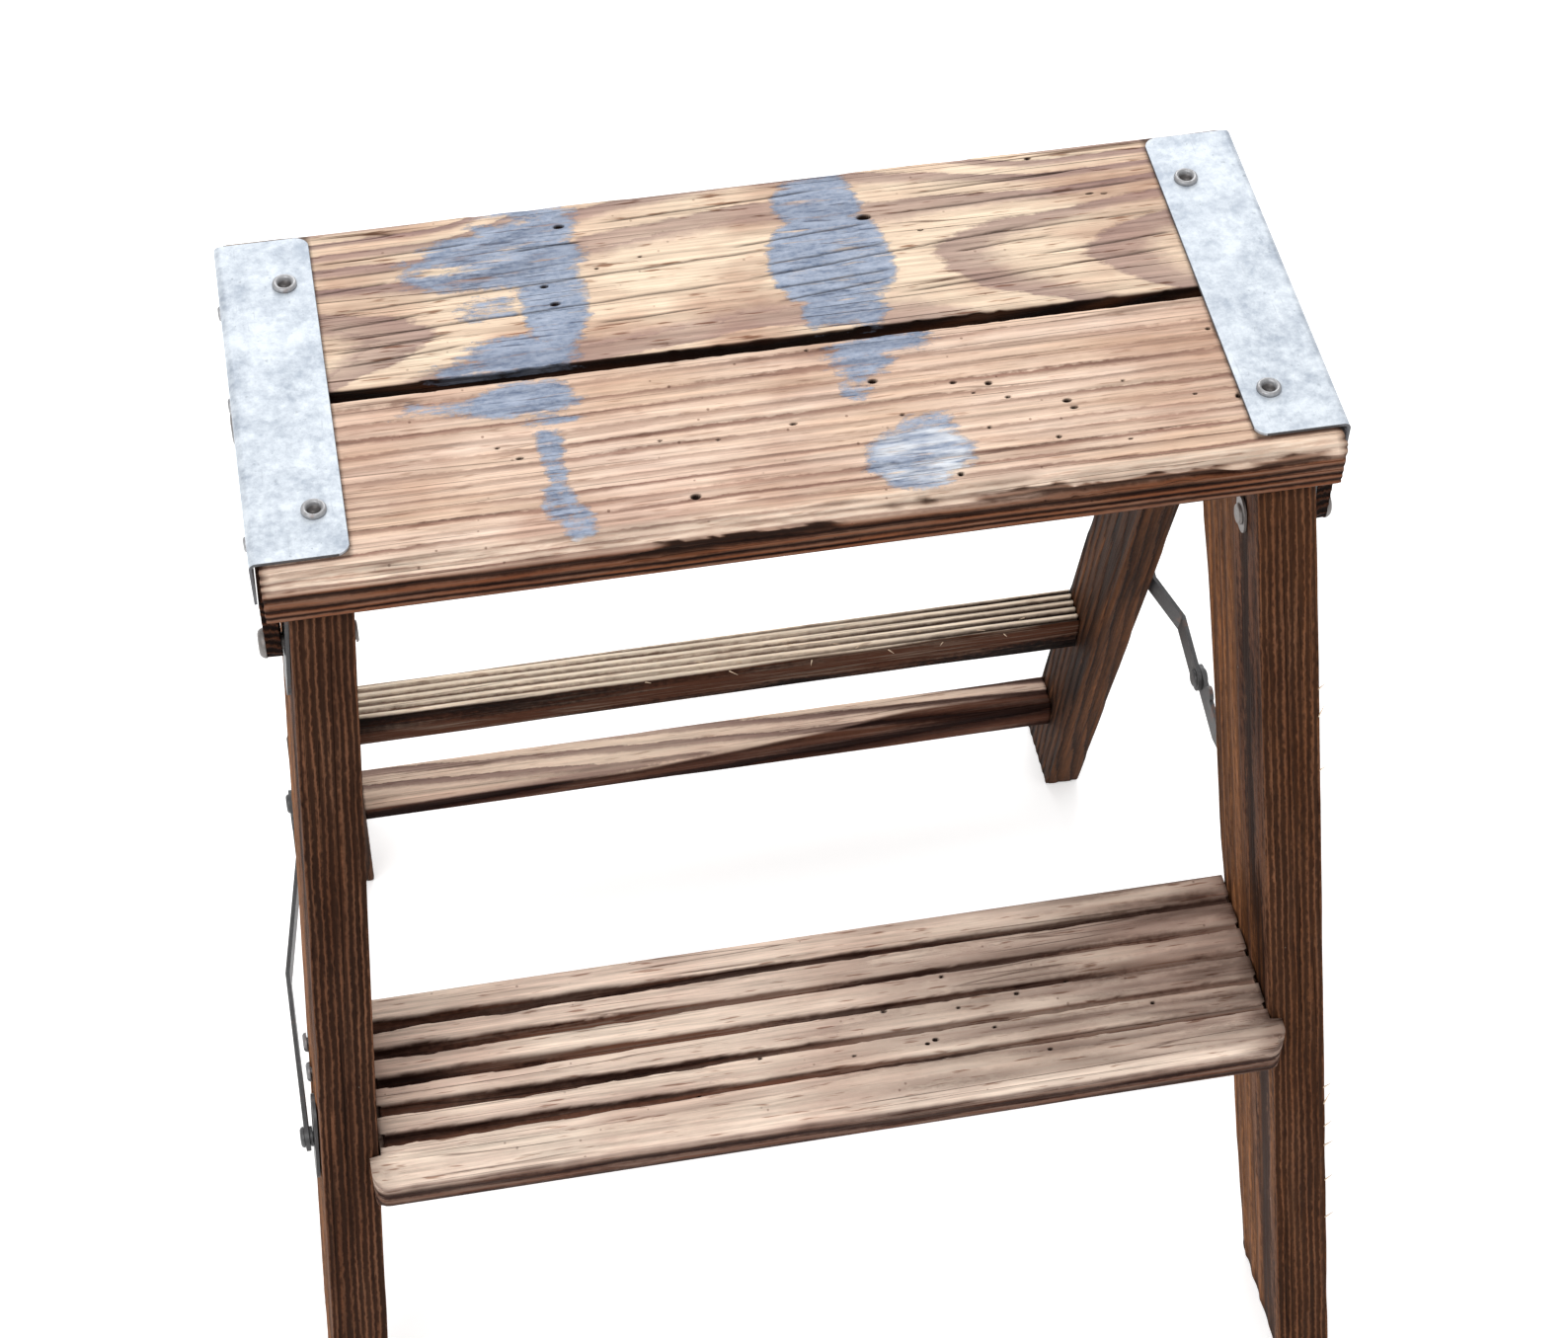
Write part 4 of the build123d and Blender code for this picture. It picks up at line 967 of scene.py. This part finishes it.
def rail(name, ring_width, tilt, drift, profile, ridge, top_wear, dark_from):
    """A rail between the rear legs. Its dirty part starts at a distance from its rear top edge, over
    the top and down the front, that may change along the rail."""
    low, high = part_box(name)
    size = high - low
    seed = 31.0 * tilt

    def rings(local):
        lift = waver(local, (0.8, 0.16, 0.05, seed), (0.3, 0.04, 0.01, seed + 4))
        return 20 + (local.y + tilt * (size.z - local.z) + drift * local.x + lift) / ring_width

    def marks(local):
        below = size.z - local.z
        around = size.y - local.y + below + waver(local, (1.6, 0.05, 0.02, seed + 7))
        start = dark_from(local.x / size.x)
        dirty = rise(around, start, start + 3 * MM)
        back = rise_before(local.y, size.y, 3, 1) * rise_mm(below, 2, 5)
        wear = top_wear * (1.0 - dirty) * rise_mm(below, 3, 1)
        valley_dirt = rise(local.x / size.x, 0.45, 1.0) * ring_darkness(rings(local), profile)
        return Mark(stain=max(dirty, 0.8 * back, 0.85 * valley_dirt), wear=wear)

    return plank(
        name + "_wood", size, (150, 60, 36), even_edges(RAIL_CORNER), rings, profile, marks,
        lambda local: low + local, ridge=ridge,
    )


CLEAT_RING = 4.5 * MM
CLEAT_CORNER = 13.0 * MM


def cleat(name, side):
    """A thin cleat under the ends of the boards."""
    low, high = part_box("cleat_right")
    size = Vector((high.y - low.y, high.z - low.z, high.x - low.x))
    seed = 41.0 * side

    def place(local):
        return Vector((side * (high.x - local.z), low.y + local.x, low.z + local.y))

    def rings(local):
        lift = waver(local, (1.5, 0.10, 0.03, seed))
        return 20 + (local.y + 0.3 * local.z + lift) / CLEAT_RING

    def marks(local):
        # A little darker all over and along the lower edge, with painted shade on the front end grain.
        return Mark(stain=max(0.3, 0.8 * rise_mm(local.x, 8, 1), 0.6 * rise_mm(local.y, 5, 1)))

    corners = [(ALONG, end, ACROSS, LOW, CLEAT_CORNER) for end in (LOW, HIGH)]
    corners += even_edges(0.8 * MM)
    return plank(
        name + "_wood", size, (70, 44, 10), corners, rings, BRIGHT_RIDGES, marks, place, ridge=0.25 * MM
    )


def build_wood():
    """All wooden pieces, each in place of its plain solid."""
    front_tones = ((240, 214, 195), (222, 190, 165), (140, 104, 90), (236, 216, 196), (134, 98, 78))
    front_pine = pine(
        "front_board_pine", front_tones, THIN_LINES, contrast=0.95, ripple=0.35, fray=0.26, fibre=0.6,
        uneven=1.0, clouds=0.6, specks=0.6, painted=True,
    )
    rear_tones = ((244, 222, 196), (230, 203, 178), (150, 122, 118), (240, 221, 199), (112, 74, 54))
    rear_pine = pine(
        "rear_board_pine", rear_tones, BROAD_BANDS, contrast=0.92, ripple=0.22, fray=0.16, fibre=0.6,
        cracks=0.9, dashes=0.9, clouds=0.9, specks=0.4, painted=True,
    )
    leg_tones = ((142, 102, 78), (98, 64, 46), (50, 30, 21), (154, 101, 60), (150, 120, 104))
    leg_pine = pine(
        "leg_pine", leg_tones, BRIGHT_RIDGES, contrast=0.95, ripple=0.85, fray=0.8, fibre=0.9, uneven=0.25,
        ring_wear=0.5, flecks=True,
    )
    tread_tones = ((247, 227, 208), (231, 207, 190), (188, 159, 146), (247, 229, 209), (108, 82, 72))
    tread_pine = pine(
        "tread_pine", tread_tones, SOFT_BANDS, contrast=0.4, ripple=0.8, fibre=0.65, cracks=0.7, dashes=0.8,
        clouds=0.5, specks=0.5, grime=(96, 76, 72),
    )
    rear_leg_tones = ((94, 60, 39), (57, 35, 23), (24, 13, 9), (114, 73, 46), (150, 124, 108))
    rear_leg_pine = pine("rear_leg_pine", rear_leg_tones, SOFT_BANDS, contrast=0.95, ripple=0.8, fibre=1.1)
    upper_tones = ((255, 236, 212), (250, 226, 200), (86, 52, 36), (255, 244, 226), (78, 52, 42))
    upper_rail_pine = pine("upper_rail_pine", upper_tones, WORN_VALLEYS, contrast=0.97, ripple=0.3)
    lower_tones = ((236, 209, 186), (208, 176, 157), (126, 98, 92), (244, 226, 206), (104, 78, 68))
    lower_rail_pine = pine(
        "lower_rail_pine", lower_tones, BROAD_BANDS, contrast=0.9, ripple=0.5, fray=0.2,
        grime=(128, 108, 104),
    )
    fit_in(top_board("top_board_front", True), "front_frame", "top_board_front", "top_pine", front_pine)
    fit_in(top_board("top_board_rear", False), "front_frame", "top_board_rear", "top_pine", rear_pine)
    fit_in(grooved_tread(), "front_frame", "tread", "tread_pine", tread_pine)
    for side, hand in ((-1, "_left"), (1, "_right")):
        for shape, name, body, slot, finish in (
            (front_leg, "front_leg", "front_frame", "dark_pine", leg_pine),
            (cleat, "cleat", "front_frame", "dark_pine", leg_pine),
            (rear_leg, "rear_leg", "rear_frame", "rear_pine", rear_leg_pine),
        ):
            fit_in(shape(name + hand, side), body, name + hand, slot, finish)
    upper = rail(
        "upper_rail", 4.6 * MM, 0.12, 0.004, WORN_VALLEYS, 1.2 * MM, 0.4,
        lambda share: 22.5 * MM - 3 * MM * rise(share, 0.6, 1.0),
    )
    fit_in(upper, "rear_frame", "upper_rail", "rear_pine", upper_rail_pine)
    lower = rail(
        "lower_rail", 10.0 * MM, 0.6, 0.05, BROAD_BANDS, 0.3 * MM, 0.3,
        lambda share: 28 * MM - 18 * MM * rise(share, 0.3, 0.9),
    )
    fit_in(lower, "rear_frame", "lower_rail", "rear_pine", lower_rail_pine)


SPLINTER_FOOT = 0.4 * MM
SPLINTER_TIP = 0.06 * MM

# Splinters at the right front leg's outer edge: height and length in mm, lean out and forward in degrees
SPLINTERS = (
    (398, 5, 32, 5), (384, 7, 18, -8), (356, 4, 40, 6), (176, 6, 28, 12), (166, 9, 16, -6),
    (152, 6, 34, 4), (140, 8, 22, 16), (118, 5, 44, -4), (94, 7, 26, 10),
)

# Splinters on the upper rail: x, distance from its front and length in mm, lean forward and to the right
# in degrees
RAIL_SPLINTERS = (
    (-112, 8, 7, 20, 62), (-40, 1, 5, 40, 50), (-12, 9, 6, 30, 66), (4, 1, 9, 52, 40),
    (12, 5, 5, 24, -50), (34, 12, 6, 16, 64), (48, 1, 8, 60, -30), (60, 9, 5, 34, 58),
    (74, 5, 6, 42, -44), (88, 1, 7, 58, 36), (104, 9, 5, 22, 60), (118, 1, 6, 50, -52),
    (136, 5, 7, 38, 46), (150, 1, 5, 62, 20), (164, 9, 6, 30, -58),
)


def sliver(block, foot, length, forward, out):
    """Adds one sliver of wood that stands on its foot, with its length in mm and its leans in degrees."""
    lean = Euler((math.radians(forward), math.radians(out), 0.0)).to_matrix().to_4x4()
    middle = Matrix.Translation((0.0, 0.0, length * MM / 2))
    bmesh.ops.create_cone(
        block, cap_ends=True, segments=5, radius1=SPLINTER_FOOT, radius2=SPLINTER_TIP, depth=length * MM,
        matrix=Matrix.Translation(foot) @ lean @ middle,
    )


def splinters():
    """Pale slivers that stand off the right front leg and the upper rail."""
    material, wiring, shader = finish_material("splinter_pine")
    streak = wiring.noise(wiring.place(), (600, 600, 90), 2.0)
    colour = wiring.mix(streak, shade(176, 140, 108), shade(240, 222, 196))
    wiring.fill(shader, Base_Color=colour, Roughness=0.8)
    leg = bmesh.new()
    for height, length, out, forward in SPLINTERS:
        foot = Vector((leg_outer(height * MM) - 0.7 * MM, leg_front(height * MM) + 0.9 * MM, height * MM))
        sliver(leg, foot, length, forward, out)
    low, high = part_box("upper_rail")
    upper = bmesh.new()
    for x, behind, length, forward, out in RAIL_SPLINTERS:
        foot = Vector((x * MM, low.y + behind * MM, high.z - (1.4 if behind > 2 else 2.2) * MM))
        sliver(upper, foot, length, forward, out)
    for block, name, body, slot in (
        (leg, "leg_splinters", "front_frame", "dark_pine"),
        (upper, "rail_splinters", "rear_frame", "rear_pine"),
    ):
        bmesh.ops.recalc_face_normals(block, faces=block.faces)
        piece = made_of(block, name)
        piece.data.materials.append(material)
        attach(piece, body)


# Metal

RIVET_HEAD = 5.8 * MM
RIVET_SIDES = 32

# Radius and height above the cap of a cap rivet, from its foot up over the rim and down its hollow, in mm
RIVET_OUTLINE = (
    (5.1, -0.5), (5.1, 0.9), (4.9, 1.5), (4.4, 1.9), (3.7, 1.9), (3.2, 1.5), (2.9, 0.9), (2.7, -0.4),
)


def tubular_rivets(material):
    """The four rivets through the caps: short tubes with rolled rims."""
    low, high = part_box("cap_rivets")
    cap_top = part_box("cap_right")[1].z
    block = bmesh.new()
    hollow = block.verts.layers.float.new("hollow")
    for x in (low.x + RIVET_HEAD, high.x - RIVET_HEAD):
        for y in (low.y + RIVET_HEAD, high.y - RIVET_HEAD):
            for (radius, height), (next_radius, next_height) in zip(RIVET_OUTLINE, RIVET_OUTLINE[1:]):
                middle = Vector((x, y, cap_top + (height + next_height) / 2 * MM))
                bmesh.ops.create_cone(
                    block, segments=RIVET_SIDES, radius1=radius * MM, radius2=next_radius * MM,
                    depth=(next_height - height) * MM, matrix=Matrix.Translation(middle),
                )
            for radius, height in (RIVET_OUTLINE[0], RIVET_OUTLINE[-1]):
                bmesh.ops.create_circle(
                    block, cap_ends=True, segments=RIVET_SIDES, radius=radius * MM,
                    matrix=Matrix.Translation((x, y, cap_top + height * MM)),
                )
    bmesh.ops.remove_doubles(block, verts=block.verts, dist=0.01 * MM)
    # Painted shade: the hollow and the foot of each rivet are marked to be coloured dark.
    for vertex in block.verts:
        vertex[hollow] = 1.0 if vertex.co.z < cap_top + 0.5 * MM else 0.0
    bmesh.ops.recalc_face_normals(block, faces=block.faces)
    piece = made_of(block, "cap_rivet_tubes", smooth=True)
    fit_in(piece, "front_frame", "cap_rivets", "rivet_steel", material)


def dress(nodes, material):
    """Gives solids that keep their shape their finish."""
    for node in nodes:
        solid = frame["nodes"][node]
        solid.data.materials.clear()
        solid.data.materials.append(material)


def both_hands(*names):
    """The left and the right node of each name."""
    return [name + "_" + hand for name in names for hand in ("left", "right")]


def dress_metal():
    """The finishes of the sheet, the fasteners and the spreaders."""
    zinc = galvanised_sheet()
    rust = shade(116, 74, 52)
    rivet = bare_steel("rivet_steel", shade(92, 89, 88), shade(206, 207, 210), rust, 0.04, 0.6)
    spreader = bare_steel("spreader_steel", shade(52, 52, 53), shade(108, 108, 109), rust, 0.03, 0.6)
    washer = bare_steel("washer_steel", shade(84, 78, 74), shade(150, 146, 144), rust, 0.05, 0.5)
    screw = bare_steel("screw_steel", shade(88, 86, 86), shade(160, 160, 162), rust, 0.08)
    dress(both_hands("cap"), zinc)
    dress(["cap_nails"], rivet)
    tubular_rivets(rivet)
    dress(["leg_rivets"] + both_hands("leg_washer"), washer)
    links = both_hands("front_link", "rear_link", "bracket", "leg_plate", "elbow_head", "elbow_tail")
    dress(links + ["front_link_pivots", "rear_link_pivots"], spreader)
    bolts = ["pivot_bolts", "pivot_spacers", "pivot_washers", "pivot_nuts"]
    dress(bolts + ["cleat_screws", "tread_screws", "rail_screws"], screw)


# Studio


def soft_light(name, place, size, power):
    """A round lamp that faces the stool."""
    lamp = bpy.data.lights.new(name, "AREA")
    lamp.shape = "DISK"
    lamp.size = size
    lamp.energy = power
    light = bpy.data.objects.new(name, lamp)
    light.location = place
    middle = (cad_low + cad_high) / 2
    light.rotation_euler = (middle - light.location).to_track_quat("-Z", "Y").to_euler()
    bpy.context.scene.collection.objects.link(light)


def studio():
    """A plain pale floor, soft light and the camera."""
    scene = bpy.context.scene
    scene.view_settings.view_transform = "Standard"
    sheet = bmesh.new()
    bmesh.ops.create_grid(sheet, x_segments=1, y_segments=1, size=FLOOR_REACH / 2)
    floor = made_of(sheet, "studio_floor")
    paper, wiring, shader = finish_material("studio_paper")
    wiring.fill(
        shader, Base_Color=PALE_PAPER, Roughness=0.9, Specular_IOR_Level=0.1,
        Emission_Color=WHITE, Emission_Strength=FLOOR_GLOW,
    )
    floor.data.materials.append(paper)
    world = bpy.data.worlds.new("studio_world")
    world.use_nodes = True
    background = world.node_tree.nodes["Background"]
    Wiring(world.node_tree).fill(background, Color=WHITE, Strength=WORLD_LIGHT)
    scene.world = world
    soft_light("key_light", KEY_PLACE, KEY_SIZE, KEY_POWER)
    soft_light("fill_light", FILL_PLACE, FILL_SIZE, FILL_POWER)
    lens = bpy.data.cameras.new("photo_camera")
    lens.lens = CAMERA_LENS
    lens.sensor_width = CAMERA_SENSOR
    camera = bpy.data.objects.new("photo_camera", lens)
    camera.location = CAMERA_PLACE
    camera.rotation_euler = Euler([math.radians(turn) for turn in CAMERA_TURN], "XYZ")
    scene.collection.objects.link(camera)
    scene.camera = camera


build_wood()
splinters()
dress_metal()
studio()
